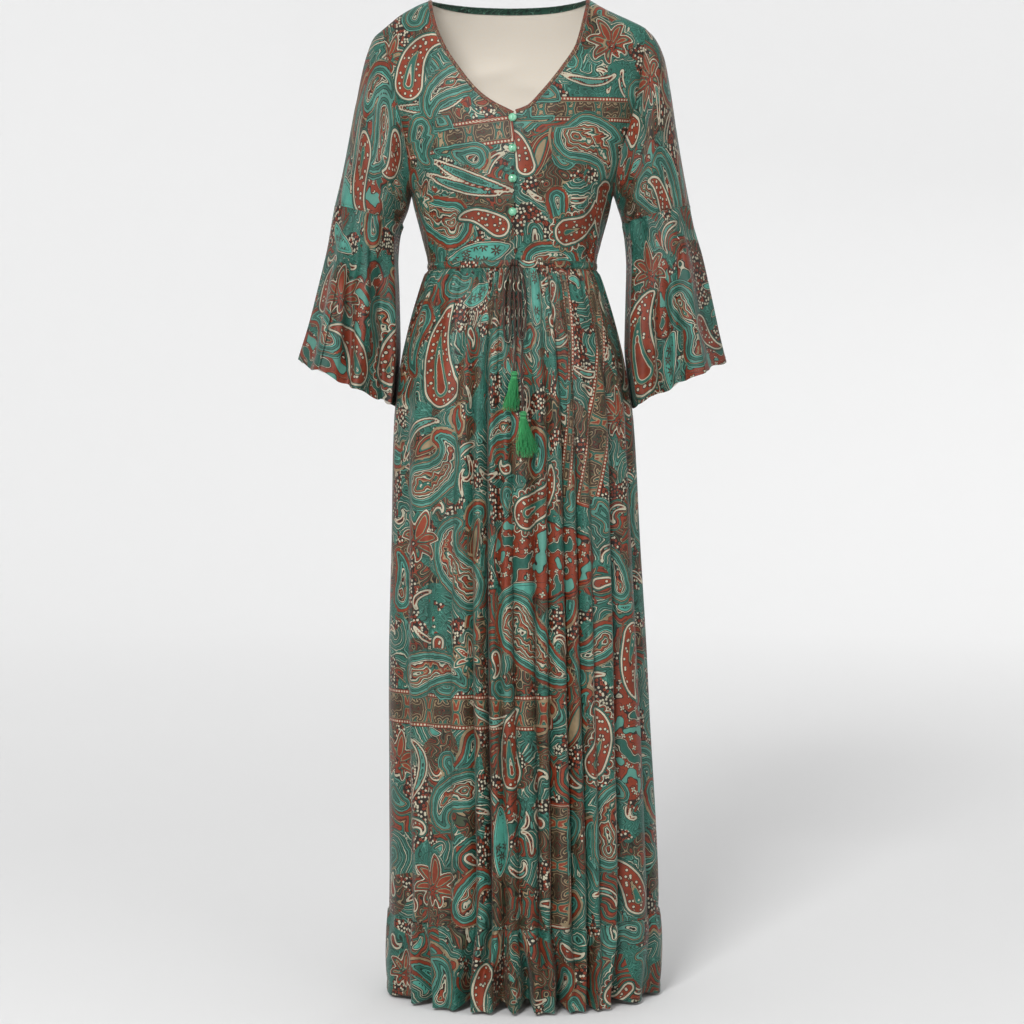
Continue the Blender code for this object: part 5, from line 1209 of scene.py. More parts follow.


# ---------------------------------------------------------------- print, as places on the cloth
# Motifs are listed one by one: kind, where each one's head is seen, in millimetres, its length, its
# direction in degrees from level and how far it curls, and its shade from 0 to 1.
Motif = namedtuple("Motif", "kind x z size turn curl shade")
MOTIFS = {
    "front_bodice_right": (
        ("seed", -141, -124, 98, 80, -95, 0.3), ("stroke", -157, -156, 120, -8, 55, 0.5),
        ("echo", -56, -110, 79, 200, 70, 0.2), ("stroke", -108, -230, 125, -24, 10, 0.5),
        ("stroke", -114, -249, 114, -20, 14, 0.5), ("echo", -81, -314, 112, 165, -80, 0.8),
        ("leaf", -84, -368, 90, 8, 10, 0.2), ("palm", -124, -284, 30, 60, 0, 0.3),
        ("seed", -18, -322, 63, 150, 50, 0.3), ("echo", -124, -186, 54, 240, 80, 0.2),
        ("palm", -190, -94, 35, 70, 0, 0.3), ("leaf", -152, -270, 54, 250, 20, 0.8)),
    "front_bodice_left": (
        ("echo", 86, -200, 114, -12, -120, 0.2), ("palm", 137, -72, 41, 120, 0, 0.3),
        ("stroke", 66, -115, 82, -20, 50, 0.5), ("lotus", 74, -328, 76, 15, 70, 0.3),
        ("palm", 109, -352, 37, 60, 0, 0.3), ("echo", 62, -284, 49, -84, 40, 0.8),
        ("seed", 18, -240, 57, 100, 40, 0.3), ("seed", 126, -270, 65, 250, 50, 0.3),
        ("echo", 36, -368, 71, 20, -90, 0.8), ("echo", 175, -134, 63, -70, 60, 0.2),
        ("leaf", 31, -251, 60, 80, -30, 0.8)),
    "sleeve_right": (
        ("echo", -173, -172, 84, 255, 80, 0.2), ("palm", -163, -260, 37, 80, 0, 0.8),
        ("seed", -203, -216, 79, 265, -60, 0.3), ("leaf", -206, -298, 76, 10, 20, 0.2),
        ("echo", -195, -134, 71, 110, 90, 0.8), ("stroke", -220, -270, 82, 60, 50, 0.5),
        ("patch", -184, -227, 76, 70, 14, 0.5), ("patch", -220, -333, 68, 20, 14, 0.5),
        ("seed", -157, -211, 68, 262, 60, 0.3), ("patch", -198, -291, 76, 80, 14, 0.5)),
    "sleeve_left": (
        ("palm", 191, -118, 39, 95, 0, 0.3), ("echo", 182, -264, 82, 250, -90, 0.2),
        ("leaf", 213, -216, 71, 260, 20, 0.2), ("seed", 169, -189, 60, 80, 50, 0.3),
        ("echo", 218, -291, 71, 100, -80, 0.8), ("stroke", 202, -175, 82, 110, -50, 0.5),
        ("patch", 156, -236, 54, 80, 14, 0.5), ("patch", 216, -273, 65, 60, 14, 0.5),
        ("seed", 224, -336, 60, 80, -50, 0.3)),
    "sleeve_flounce_right": (
        ("palm", -233, -417, 44, 88, 0, 0.3), ("seed", -211, -518, 84, 70, -80, 0.3),
        ("echo", -182, -444, 84, 250, 90, 0.2), ("echo", -254, -474, 76, 60, -90, 0.8),
        ("lotus", -168, -515, 71, 95, 60, 0.3), ("leaf", -220, -352, 68, 20, 30, 0.2),
        ("patch", -190, -386, 54, -70, 10, 0.5), ("patch", -247, -518, 82, 20, 14, 0.5),
        ("patch", -176, -472, 82, -96, 10, 0.5), ("seed", -258, -423, 60, 80, 60, 0.3),
        ("patch", -217, -464, 65, 90, 14, 0.5)),
    "sleeve_flounce_left": (
        ("palm", 191, -386, 44, 90, 0, 0.3), ("lotus", 183, -518, 114, 82, 62, 0.3),
        ("echo", 229, -420, 79, 250, -90, 0.2), ("echo", 256, -488, 65, 100, -90, 0.8),
        ("patch", 243, -368, 57, -80, 10, 0.5), ("patch", 265, -518, 76, 170, 10, 0.5),
        ("leaf", 218, -542, 76, 100, 20, 0.2), ("seed", 259, -450, 65, 250, -60, 0.3),
        ("patch", 207, -444, 68, 90, 14, 0.5)),
    "skirt_front": (
        ("leaf", -62, -425, 79, 12, 14, 0.2), ("echo", -124, -444, 82, 250, 70, 0.8),
        ("seed", -95, -540, 117, 105, -40, 0.3), ("echo", -16, -481, 76, 200, 90, 0.2),
        ("echo", -124, -673, 109, 20, 150, 0.2), ("stroke", -149, -640, 95, 62, -60, 0.5),
        ("stroke", -89, -673, 90, 66, -60, 0.5), ("palm", -135, -753, 45, 70, 0, 0.3),
        ("echo", -56, -808, 125, 150, -130, 0.2), ("lotus", 22, -708, 98, 20, 75, 0.3),
        ("patch", 12, -768, 150, -4, 8, 0.5), ("echo", 150, -812, 68, 100, 60, 0.2),
        ("leaf", -16, -825, 84, 8, 10, 0.2), ("echo", 3, -858, 152, -42, 28, 0.8),
        ("leaf", -86, -600, 60, 200, 30, 0.8), ("seed", 169, -882, 90, 250, 50, 0.3),
        ("echo", -135, -931, 101, 20, -70, 0.2), ("palm", -56, -910, 35, 100, 0, 0.8),
        ("palm", -157, -1059, 44, 80, 0, 0.3), ("echo", -59, -1084, 90, 190, 130, 0.2),
        ("stroke", -135, -1100, 90, 60, 80, 0.5), ("seed", 1, -1059, 95, 100, -60, 0.3),
        ("patch", 158, -964, 117, -96, 16, 0.5), ("lotus", 115, -1051, 87, 60, 80, 0.3),
        ("echo", 134, -1163, 114, 95, -120, 0.2), ("seed", 175, -1243, 84, 110, 70, 0.3),
        ("leaf", -16, -1198, 90, 82, 16, 0.2), ("palm", -108, -1225, 46, 88, 0, 0.3),
        ("echo", -62, -1243, 82, 70, -110, 0.8), ("echo", 129, -882, 82, 220, -100, 0.8),
        ("palm", 148, -583, 44, 90, 0, 0.3), ("seed", 153, -474, 79, 260, -50, 0.3),
        ("echo", -5, -589, 76, 190, 90, 0.8), ("leaf", -46, -719, 65, 250, 20, 0.8),
        ("echo", -152, -828, 68, 80, 60, 0.8), ("stroke", -56, -964, 109, -30, 50, 0.5),
        ("echo", 175, -692, 71, 250, 80, 0.2), ("patch", -16, -1141, 54, 30, 30, 0.5),
        ("leaf", 93, -964, 73, 250, -20, 0.8), ("leaf", 36, -450, 82, 84, 20, 0.2)),
    "hem_ruffle_front": (
        ("palm", -149, -1352, 35, 88, 0, 0.3), ("echo", -97, -1372, 65, 70, 90, 0.2),
        ("seed", -35, -1334, 60, 250, 60, 0.3), ("palm", 12, -1372, 33, 90, 0, 0.8),
        ("echo", 74, -1338, 63, 240, -90, 0.8), ("lotus", 134, -1367, 63, 60, 60, 0.3),
        ("echo", 183, -1352, 57, 110, 80, 0.2)),
}
# Ornamental borders: both ends of the middle line and half the width, in millimetres.
Border = namedtuple("Border", "x0 z0 x1 z1 half")
BORDERS = {
    "front_bodice_right": ((-157, -211, 12, -190, 18.4),),
    "front_bodice_left": ((9, -137, 169, -159, 17.0),),
    "skirt_front": ((70, -374, 70, -703, 11.6), (104, -374, 104, -703, 21.1),
                    (-173, -979, 55, -979, 23.8), (61, -1100, 61, -1297, 22.4)),
    "sleeve_flounce_right": ((-277, -491, -217, -545, 15.0),),
    "sleeve_flounce_left": ((240, -434, 278, -518, 15.0),),
}

OUTSIDE = -60.0          # millimetres, where no motif is near
RIPPLES = 34             # millimetres round a motif that its outlines reach
FAR_APART = 9.0          # millimetres between petals, where there is only one
KINDS = ("echo", "seed", "leaf", "patch", "stroke", "petal", "petal_edge")
WREATH = Motif("wreath", 0, 0, 2.1, 78, -205, 0.5)      # a border's curled leaf, for half its width
WREATH_SLIM = 0.62
WREATH_HALF = 0.86       # of the border's own half width
# Share of the length that a motif's widest circle measures across its middle line.
FAT = {"echo": 0.25, "seed": 0.22, "lotus": 0.22, "leaf": 0.17, "patch": 0.36, "stroke": 0.052}


def spine(motif, at, steps=24):
    """Circles along a motif's middle line: centres in millimetres and radii."""
    t = np.linspace(0, 1, steps)
    heading = np.radians(motif.turn + motif.curl * 1.3 * t ** 2)
    step = motif.size / (steps - 1)
    x = at[0] + np.concatenate([[0], np.cumsum(np.cos(heading[:-1]))]) * step
    z = at[1] + np.concatenate([[0], np.cumsum(np.sin(heading[:-1]))]) * step
    fat = FAT.get(motif.kind, 0.2) * motif.size
    if motif.kind in ("leaf", "stroke"):
        radius = fat * np.sin(math.pi * np.clip(t * 0.94 + 0.03, 0, 1)) ** 0.8
    elif motif.kind == "patch":
        radius = fat * (1 - 0.35 * t) * (1 + 0.16 * np.cos(t * 17))
    else:
        radius = fat * (1 - t) ** 0.72 * (1 + 0.25 * t) + 0.006 * motif.size
    return np.stack([x, z], axis=1), radius, heading


def apart(p, place):
    """How far each point lies from a place."""
    return np.hypot(p[:, 0] - place[0], p[:, 1] - place[1])


def reach(p, centres, radii):
    """How deep each place lies inside a chain of circles."""
    best = np.full(len(p), OUTSIDE)
    for centre, radius in zip(centres, radii):
        best = np.maximum(best, radius - apart(p, centre))
    return best


PETAL = 2.6              # millimetres wide on the smallest lotus
PETAL_GROWTH = 0.034     # wider for each millimetre of the lotus
PETAL_OUT = 0.9          # of a petal, from the lotus to its middle
PETAL_APART = 1.75       # petals along the lotus's sides
HEAD_PETALS = (-60, -30, 0, 30, 60)      # directions round its head, from straight on
PETAL_CIRCLES = ((-0.6, 0.95), (0.0, 0.85), (0.35, 0.5))     # places along a petal, and radii
PALM_FULLER = 1.12       # a palmette's petals, than leaves
# A blossom seen from its side: each petal's direction, share of the flower's size, and curl.
PETALS = ((-8, 1.08, 18), (34, 0.98, 40), (-44, 0.94, -42), (74, 0.86, 62), (-82, 0.84, -60),
          (118, 0.66, 70), (-124, 0.60, -70), (176, 0.46, 20))


def palm_petals(motif, at):
    """Each petal of a palmette as a chain of circles."""
    made = []
    for turn, size, curl in PETALS:
        leaf = motif._replace(kind="leaf", turn=motif.turn + turn, curl=curl, size=motif.size * size)
        centres, radii, _ = spine(leaf, at, 14)
        made.append((centres, radii * PALM_FULLER))
    return made


def lotus_petals(motif, at):
    """The row of petals round a lotus: along both its sides and round its head."""
    centres, radii, heading = spine(motif, at)
    petal = PETAL + PETAL_GROWTH * motif.size
    made = []

    def tip_of(k, way):
        out = np.array([math.cos(way), math.sin(way)])
        return centres[k] + out * (radii[k] + petal * PETAL_OUT), out

    def add(tip, out):
        made.append((np.array([tip + out * petal * place for place, _ in PETAL_CIRCLES]),
                     np.array([radius for _, radius in PETAL_CIRCLES]) * petal))
    for side in (-1, 1):
        last = None
        for k, way in enumerate(heading):
            tip, out = tip_of(k, way + side * math.pi / 2)
            if last is None or np.hypot(*(tip - last)) > petal * PETAL_APART:
                add(tip, out)
                last = tip
    for turn in HEAD_PETALS:
        add(*tip_of(0, heading[0] + math.pi + math.radians(turn)))
    return made


def lay(cloth, motifs):
    """For each point, how deep it lies in the motifs of each kind; motifs come with their places."""
    made = {kind: np.full(len(cloth), OUTSIDE) for kind in KINDS + ("near",)}
    made["petal_edge"][:] = FAR_APART
    made["shade"] = np.full(len(cloth), 0.5)
    for motif, at in motifs:
        near = np.flatnonzero(apart(cloth, at) < motif.size * 1.4 + RIPPLES)
        if not len(near):
            continue
        p = cloth[near]
        depth = np.full(len(p), OUTSIDE)
        if motif.kind != "palm":
            kind = "seed" if motif.kind == "lotus" else motif.kind
            depth = reach(p, *spine(motif, at)[:2])
            made[kind][near] = np.maximum(made[kind][near], depth)
        if motif.kind in ("palm", "lotus"):
            best, second = made["petal"][near], np.full(len(p), OUTSIDE)
            petals = palm_petals if motif.kind == "palm" else lotus_petals
            for centres, radii in petals(motif, at):
                value = reach(p, centres, radii)
                second = np.maximum(second, np.minimum(best, value))
                best = np.maximum(best, value)
            made["petal"][near] = best
            made["petal_edge"][near] = np.minimum(made["petal_edge"][near], best - second)
            depth = np.maximum(depth, best)
        closer = depth > made["near"][near]
        made["near"][near] = np.where(closer, depth, made["near"][near])
        made["shade"][near] = np.where(closer, motif.shade, made["shade"][near])
    return made


SMALL_GAP = 60           # millimetres between the small motifs strewn over the cloth
SMALL_CLEAR = 7.0        # and from the large ones
SMALL_KINDS = (("echo", 34, 60), ("echo", 26, 44), ("leaf", 22, 34), ("stroke", 40, 70), ("seed", 26, 42),
               ("stroke", 30, 50))


def strewn(cloth, seed):
    """Small motifs over a whole panel, a little apart, so that no ground is left plain."""
    noise = np.random.default_rng(seed)
    low, high = cloth.min(axis=0), cloth.max(axis=0)
    made = []
    for i in range(int((high[0] - low[0]) / SMALL_GAP) + 1):
        for j in range(int((high[1] - low[1]) / SMALL_GAP) + 1):
            at = low + (np.array([i + 0.5 * (j % 2), j]) + noise.uniform(0.15, 0.85, 2)) * SMALL_GAP
            kind, small, large = SMALL_KINDS[noise.integers(len(SMALL_KINDS))]
            made.append((Motif(kind, 0, 0, noise.uniform(small, large), noise.uniform(0, 360),
                               noise.choice([-1, 1]) * noise.uniform(30, 150), noise.uniform(0, 1)), at))
    return made


def wreath(cloth, middle, way, half, depth):
    """Four mirrored curled leaves round a place on a border's middle line, as depths in them."""
    near = np.flatnonzero(apart(cloth, middle) < half * 1.7)
    p = cloth[near] - middle
    p = np.abs(np.stack([p @ way, p @ np.array([-way[1], way[0]])], axis=1))
    centres, radii, _ = spine(WREATH._replace(size=WREATH.size * half), (half * 0.10, half * 0.20))
    depth[near] = np.maximum(depth[near], reach(p, centres, radii * WREATH_SLIM))


def lay_borders(cloth, borders):
    """How deep each point lies in a border, how far along it, and how deep in its wreaths."""
    inside, along, leaves = np.full(len(cloth), OUTSIDE), np.zeros(len(cloth)), np.full(len(cloth), OUTSIDE)
    for start, stop, half in borders:
        size = np.linalg.norm(stop - start)
        way = (stop - start) / size
        s = (cloth - start) @ way
        t = (cloth - start) @ np.array([-way[1], way[0]])
        depth = np.minimum(half - np.abs(t), np.minimum(s, size - s))
        along = np.where(depth > inside, s, along)
        inside = np.maximum(inside, depth)
        count = max(int(size / (half * 2.0)), 1)
        for k in range(count):
            wreath(cloth, start + way * (k + 0.5) * size / count, way, half * WREATH_HALF, leaves)
    return inside, along, leaves


def print_fields(panel, motifs, borders, behind, hidden=()):
    """The print's fields at each point of a panel, in millimetres."""
    cloth = panel.cloth.reshape(-1, 2) * 1000
    placed = [(m, spot(panel, m.x, m.z, behind)) for m in motifs]
    placed += [(m, spot(panel, m.x, m.z, True)) for m in hidden]
    made = lay(cloth, placed)
    small = lay(cloth, strewn(cloth, len(panel.name) * 7 + int(behind)))
    clear = made["near"] < -SMALL_CLEAR
    inside, along, leaves = lay_borders(cloth, [
        (spot(panel, b.x0, b.z0, behind), spot(panel, b.x1, b.z1, behind), b.half) for b in borders])
    for kind in made:
        made[kind] = np.where(clear, small[kind], made[kind])
    for kind in KINDS[:-1]:
        # a border lies over the small motifs and under the large ones
        made[kind] = np.where(clear, np.minimum(made[kind], -inside), made[kind])
    made.update(wreath=leaves, band_along=along, band_depth=inside)
    fields = {name: values.reshape(panel.cloth.shape[:2]) for name, values in made.items()}
    return {**fields, "cloth": panel.cloth}


# Where and how motifs come back on the side that no photo shows.
HIDDEN_DROP, HIDDEN_TURN = 14, 24
BACK_DROP, BACK_TURN, BACK_CURL = 9, 200, -0.9


def panel_print(panel):
    """A panel's print: the front's own motifs, and the same ones mirrored for the hidden back."""
    name = panel.name
    if "back" not in name:
        # the side of a sleeve that is turned away has the same motifs, lower and turned
        motifs = [Motif(*row) for row in MOTIFS.get(name, ())]
        hidden = [m._replace(z=m.z - HIDDEN_DROP, turn=m.turn + HIDDEN_TURN, shade=1 - m.shade)
                  for m in motifs if panel.ring]
        return print_fields(panel, motifs, [Border(*row) for row in BORDERS.get(name, ())], False, hidden)
    source = "front_bodice" if name == "back_bodice" else name.replace("back", "front")
    names = [other for other in MOTIFS if other.startswith(source)]
    motifs = [Motif(*row) for other in names for row in MOTIFS[other]]
    motifs = [m._replace(x=-m.x, z=m.z - BACK_DROP, turn=BACK_TURN - m.turn, curl=m.curl * BACK_CURL)
              for m in motifs]
    borders = [Border(*row) for other in names for row in BORDERS.get(other, ())]
    return print_fields(panel, motifs, [b._replace(x0=-b.x0, x1=-b.x1) for b in borders], True)


# ---------------------------------------------------------------- colours
def rgb(red, green, blue):
    """A colour as seen on a screen, turned into light."""
    return tuple(((c / 255 + 0.055) / 1.055) ** 2.4 if c > 10 else c / 255 / 12.92
                 for c in (red, green, blue)) + (1.0,)


TEAL = rgb(33, 90, 77)
LIGHT_TEAL = rgb(72, 124, 111)
TURQUOISE = rgb(72, 141, 126)
GREEN = rgb(22, 47, 36)
RUST = rgb(119, 45, 21)
DEEP_RUST = rgb(74, 31, 18)
CREAM = rgb(170, 164, 143)
SAND = rgb(132, 114, 86)
BROWN = rgb(28, 20, 12)
UMBER = rgb(64, 46, 30)
OLIVE = rgb(53, 62, 42)
LINING = rgb(216, 209, 198)
DARK_LINING = rgb(217, 208, 194)
WHITE = rgb(255, 255, 255)


class Paint:
    """Adds shader nodes to a material, one call for each."""

    def __init__(self, name):
        self.material = bpy.data.materials.new(name)
        self.material.use_nodes = True
        self.tree = self.material.node_tree
        self.shader = self.tree.nodes["Principled BSDF"]

    def add(self, kind, **settings):
        node = self.tree.nodes.new(kind)
        for key, value in settings.items():
            setattr(node, key, value)
        return node

    def put(self, socket, value):
        if isinstance(value, bpy.types.NodeSocket):
            self.tree.links.new(value, socket)
        else:
            socket.default_value = value

    def fill(self, node, **values):
        """Sets or links inputs, named as in Blender with _ for a space."""
        for key, value in values.items():
            self.put(node.inputs[key.replace("_", " ")], value)
        return node

    def math(self, operation, *values):
        node = self.add("ShaderNodeMath", operation=operation)
        for socket, value in zip(node.inputs, values):
            self.put(socket, value)
        return node.outputs[0]

    def times(self, a, b):
        return self.math("MULTIPLY", a, b)

    def plus(self, a, b):
        return self.math("ADD", a, b)

    def scaled(self, value, factor, start):
        return self.math("MULTIPLY_ADD", value, factor, start)

    def over(self, value, edge):
        return self.math("GREATER_THAN", value, edge)

    def below(self, value, edge):
        return self.math("LESS_THAN", value, edge)

    def near(self, value, middle, reach):
        return self.below(self.math("ABSOLUTE", self.math("SUBTRACT", value, middle)), reach)

    def far(self, x, y):
        """Length of a way in a plane."""
        return self.math("SQRT", self.plus(self.math("POWER", x, 2.0), self.math("POWER", y, 2.0)))

    def vector(self, operation, a, b):
        node = self.add("ShaderNodeVectorMath", operation=operation)
        self.put(node.inputs[0], a)
        self.put(node.inputs[1], b)
        return node.outputs["Vector"]

    def field(self, name):
        return self.add("ShaderNodeAttribute", attribute_name=name).outputs["Fac"]

    def cloth(self):
        return self.add("ShaderNodeAttribute", attribute_name="cloth").outputs["Vector"]

    def object_place(self):
        return self.add("ShaderNodeTexCoord").outputs["Object"]

    def split(self, vector):
        return self.fill(self.add("ShaderNodeSeparateXYZ"), Vector=vector).outputs

    def noise(self, vector, scale, detail, want="Fac", distortion=0.0):
        node = self.add("ShaderNodeTexNoise", noise_dimensions="2D")
        self.fill(node, Vector=vector, Scale=scale, Detail=detail, Distortion=distortion)
        return node.outputs[want]

    def cells(self, vector, scale, randomness):
        node = self.add("ShaderNodeTexVoronoi", voronoi_dimensions="2D", feature="F1")
        return self.fill(node, Vector=vector, Scale=scale, Randomness=randomness).outputs

    def coils(self, base, vector, scale, detail, turns):
        """Lines that wind with the noise, as a share from 0 to 1 across each."""
        return self.math("FRACT", self.plus(base, self.times(self.noise(vector, scale, detail), turns)))

    def steps(self, value, stops, lowest=0, highest=1, smooth=False):
        """Colours by value: each stop is where its colour starts."""
        node = self.add("ShaderNodeValToRGB")
        ramp = node.color_ramp
        ramp.interpolation = "LINEAR" if smooth else "CONSTANT"
        ramp.elements.remove(ramp.elements[-1])
        for number, (at, colour) in enumerate(stops):
            position = min(max((at - lowest) / (highest - lowest), 0.0), 1.0)
            element = ramp.elements[0] if number == 0 else ramp.elements.new(position)
            element.position = position
            element.color = colour
        share = self.scaled(value, 1 / (highest - lowest), -lowest / (highest - lowest))
        self.put(node.inputs[0], share)
        return node.outputs["Color"]

    def mix(self, share, under, over, blend="MIX"):
        node = self.fill(self.add("ShaderNodeMix", data_type="RGBA", blend_type=blend), Factor=share)
        colours = [s for s in node.inputs if s.type == "RGBA"]
        self.put(colours[0], under)
        self.put(colours[1], over)
        return [s for s in node.outputs if s.type == "RGBA"][0]

    def bump(self, height, distance, strength):
        node = self.fill(self.add("ShaderNodeBump"), Height=height, Distance=distance, Strength=strength)
        self.put(self.shader.inputs["Normal"], node.outputs["Normal"])

    def finish(self, colour, roughness, sheen, specular, **more):
        self.fill(self.shader, Base_Color=colour, Roughness=roughness, Sheen_Weight=sheen,
                  Sheen_Roughness=0.4, Specular_IOR_Level=specular, **more)
        return self.material


# ---------------------------------------------------------------- the print, from its ground up
DEEPEST = 26.0           # millimetres inside a motif, where its colours end


def ground(p, cloth, wobble):
    """Lines that flow round the large motifs, mottled teal, and clusters of berries between them."""
    drift = p.vector("SUBTRACT", p.noise(cloth, 12.0, 1.0, "Color"), (0.5, 0.5, 0.5))
    bent = p.vector("ADD", cloth, p.vector("MULTIPLY", drift, (0.050, 0.050, 0)))
    near = p.times(p.plus(p.field("near"), wobble), 1 / 9.0)
    cool = ((0, TEAL), (0.24, GREEN), (0.36, LIGHT_TEAL), (0.54, BROWN), (0.65, TEAL), (0.80, CREAM),
            (0.90, BROWN))
    warm = ((0, RUST), (0.30, BROWN), (0.40, TEAL), (0.62, GREEN), (0.72, SAND), (0.80, DEEP_RUST))
    dark = ((0, SAND), (0.13, BROWN), (0.32, OLIVE), (0.50, BROWN), (0.62, RUST), (0.76, UMBER),
            (0.88, GREEN))
    plain = ((0, TEAL), (0.56, GREEN), (0.72, TEAL), (0.90, LIGHT_TEAL))
    flow = p.coils(near, bent, 20.0, 1.0, 2.6)
    colour = p.mix(p.over(p.noise(cloth, 9.3, 1.0), 0.44),
                   p.steps(p.coils(0.0, bent, 70.0, 1.0, 6.0), plain), p.steps(flow, cool))
    colour = p.mix(p.over(p.noise(cloth, 10.9, 1.0), 0.545), colour,
                   p.steps(p.coils(0.0, bent, 38.0, 1.0, 7.0), dark))
    colour = p.mix(p.over(p.noise(cloth, 12.7, 1.0), 0.60), colour, p.steps(flow, warm))
    # berries, each with a dark ring, in loose clusters
    berry = p.cells(cloth, 205.0, 0.85)
    ball = p.mix(p.over(p.split(berry["Color"])[0], 0.56),
                 p.steps(berry["Distance"], ((0, CREAM), (0.34, BROWN))),
                 p.steps(berry["Distance"], ((0, BROWN), (0.12, RUST), (0.40, BROWN))))
    cluster = p.scaled(p.noise(cloth, 62.0, 1.0), 0.35, p.noise(cloth, 17.0, 1.0))
    return p.mix(p.over(cluster, 0.775), colour, ball)


EDGING = 7.4             # millimetres wide
BEAD_PITCH = 4.8
BEAD_LINE = 3.0          # from the border's edge to the middle of its beads
BEAD_HALF = 1.25


def border_print(p, cloth, colour, steady):
    """Dotted rust edges, with wreaths of curled leaves on brown between them."""
    inside = p.field("band_depth")
    leaf = p.plus(p.field("wreath"), steady)
    rest = p.steps(p.coils(p.times(leaf, 1 / 5.5), cloth, 90.0, 1.0, 3.0), (
        (0, UMBER), (0.26, OLIVE), (0.46, DEEP_RUST), (0.60, BROWN), (0.74, RUST), (0.82, GREEN)))
    curl = p.steps(leaf, ((-4.0, SAND), (-3.3, UMBER), (-1.9, BROWN), (-1.2, SAND), (-0.2, BROWN),
                          (0.4, TEAL), (1.8, GREEN), (2.4, SAND), (3.2, RUST)), -4.0, 6.0)
    band = p.mix(p.over(leaf, -4.0), rest, curl)
    dots = p.over(p.math("COSINE", p.times(p.field("band_along"), 2 * math.pi / BEAD_PITCH)), -0.1)
    edging = p.steps(inside, ((0, BROWN), (0.7, RUST), (5.3, BROWN), (6.2, SAND), (6.9, BROWN)), 0, 10)
    edging = p.mix(p.times(dots, p.near(inside, BEAD_LINE, BEAD_HALF)), edging, CREAM)
    band = p.mix(p.over(inside, EDGING), edging, band)
    return p.mix(p.over(inside, 0.0), colour, band)


def flowers(p, cloth, scale, randomness, lobes, inner, outer, turned):
    """Flowers strewn in cells: how far each place lies from a middle, 1 at the petals' tips."""
    bud = p.cells(cloth, scale, randomness)
    chance = p.split(bud["Color"])
    arm = p.split(p.vector("SUBTRACT", cloth, bud["Position"]))
    turn = p.scaled(p.math("ARCTAN2", arm[1], arm[0]), lobes, p.times(chance[0], turned))
    size = p.scaled(p.math("COSINE", turn), outer, inner)
    return p.math("DIVIDE", p.far(arm[0], arm[1]), size), chance[1]


def rust_print(p, cloth, colour, wobble):
    """Rust fields with teal islands and ringed flowers."""
    depth = p.plus(p.field("patch"), wobble)
    island = p.noise(cloth, 34.0, 1.0)
    field = p.steps(island, ((0, TEAL), (0.34, GREEN), (0.36, CREAM), (0.385, BROWN), (0.41, RUST),
                             (0.52, DEEP_RUST), (0.535, RUST), (0.61, BROWN), (0.635, LIGHT_TEAL)))
    share, chance = flowers(p, cloth, 74.0, 0.9, 4.0, 0.0030, 0.0016, 6.0)
    flower = p.steps(share, ((0, TEAL), (0.34, CREAM), (0.86, BROWN), (1.2, RUST)), 0, 1.4)
    here = p.times(p.near(island, 0.51, 0.10), p.times(p.over(chance, 0.22), p.below(share, 1.2)))
    field = p.mix(here, field, flower)
    rim = p.steps(depth, ((0, BROWN), (0.8, DEEP_RUST), (2.0, RUST)), 0, DEEPEST)
    return p.mix(p.over(depth, 3.4), p.mix(p.over(depth, 0.0), colour, rim), field)


def layer(p, colour, field, wobble, lowest, stops, other=None):
    """Lays a motif over the ground: colours by its depth, from the lowest depth inwards."""
    depth = p.plus(p.field(field), wobble)
    over = p.steps(depth, stops, lowest, DEEPEST)
    if other is not None:
        over = p.mix(p.over(p.field("shade"), 0.5), over, p.steps(depth, other, lowest, DEEPEST))
    return p.mix(p.over(depth, stops[0][0]), colour, over), depth


def leaf_print(p, cloth, colour, steady):
    """Turquoise leaves with dark flowers, or rust ones."""
    colour, depth = layer(p, colour, "leaf", steady, -2.4, (
        (-2.2, BROWN), (-1.4, CREAM), (-0.3, GREEN), (0.7, TURQUOISE), (3.4, GREEN), (4.1, TURQUOISE)), (
        (-2.2, BROWN), (-1.3, SAND), (0.1, BROWN), (1.1, RUST), (3.2, BROWN), (4.0, TEAL), (5.4, SAND)))
    share, _ = flowers(p, cloth, 62.0, 0.7, 7.0, 0.0050, 0.0026, 0.0)
    sprig = p.times(p.times(p.below(share, 1.0), p.over(depth, 4.0)), p.below(p.field("shade"), 0.5))
    return p.mix(sprig, colour, p.steps(share, ((0, TURQUOISE), (0.24, DEEP_RUST), (0.72, GREEN))))


def crescent_print(p, colour, steady):
    """Crescents edged with cream."""
    return layer(p, colour, "stroke", steady, -3.0, (
        (-3.0, BROWN), (-2.2, CREAM), (-0.2, RUST), (0.5, BROWN), (1.1, LIGHT_TEAL), (2.8, GREEN),
        (3.4, TEAL)))[0]


def paisley_print(p, cloth, colour, wobble):
    """Paisleys of nested lines, with a worked core."""
    colour, depth = layer(p, colour, "echo", wobble, -9.0, (
        (-8.6, BROWN), (-7.8, LIGHT_TEAL), (-6.0, BROWN), (-5.2, TEAL), (-3.2, BROWN), (-2.4, SAND),
        (-1.4, BROWN), (-0.6, LIGHT_TEAL), (2.2, BROWN), (3.0, TEAL), (5.2, GREEN), (6.2, LIGHT_TEAL),
        (8.0, BROWN), (8.8, CREAM), (9.8, BROWN)), (
        (-6.2, SAND), (-5.2, BROWN), (-4.4, RUST), (-0.6, BROWN), (0.2, LIGHT_TEAL), (2.6, BROWN),
        (3.4, TEAL), (5.6, BROWN), (6.4, TURQUOISE), (8.0, GREEN), (9.0, CREAM), (9.9, BROWN)))
    core = p.steps(p.coils(p.times(depth, 1 / 6.5), cloth, 60.0, 1.0, 2.4), (
        (0, CREAM), (0.20, BROWN), (0.34, RUST), (0.60, SAND), (0.72, BROWN), (0.82, TEAL)))
    return p.mix(p.over(depth, 10.8), colour, core)


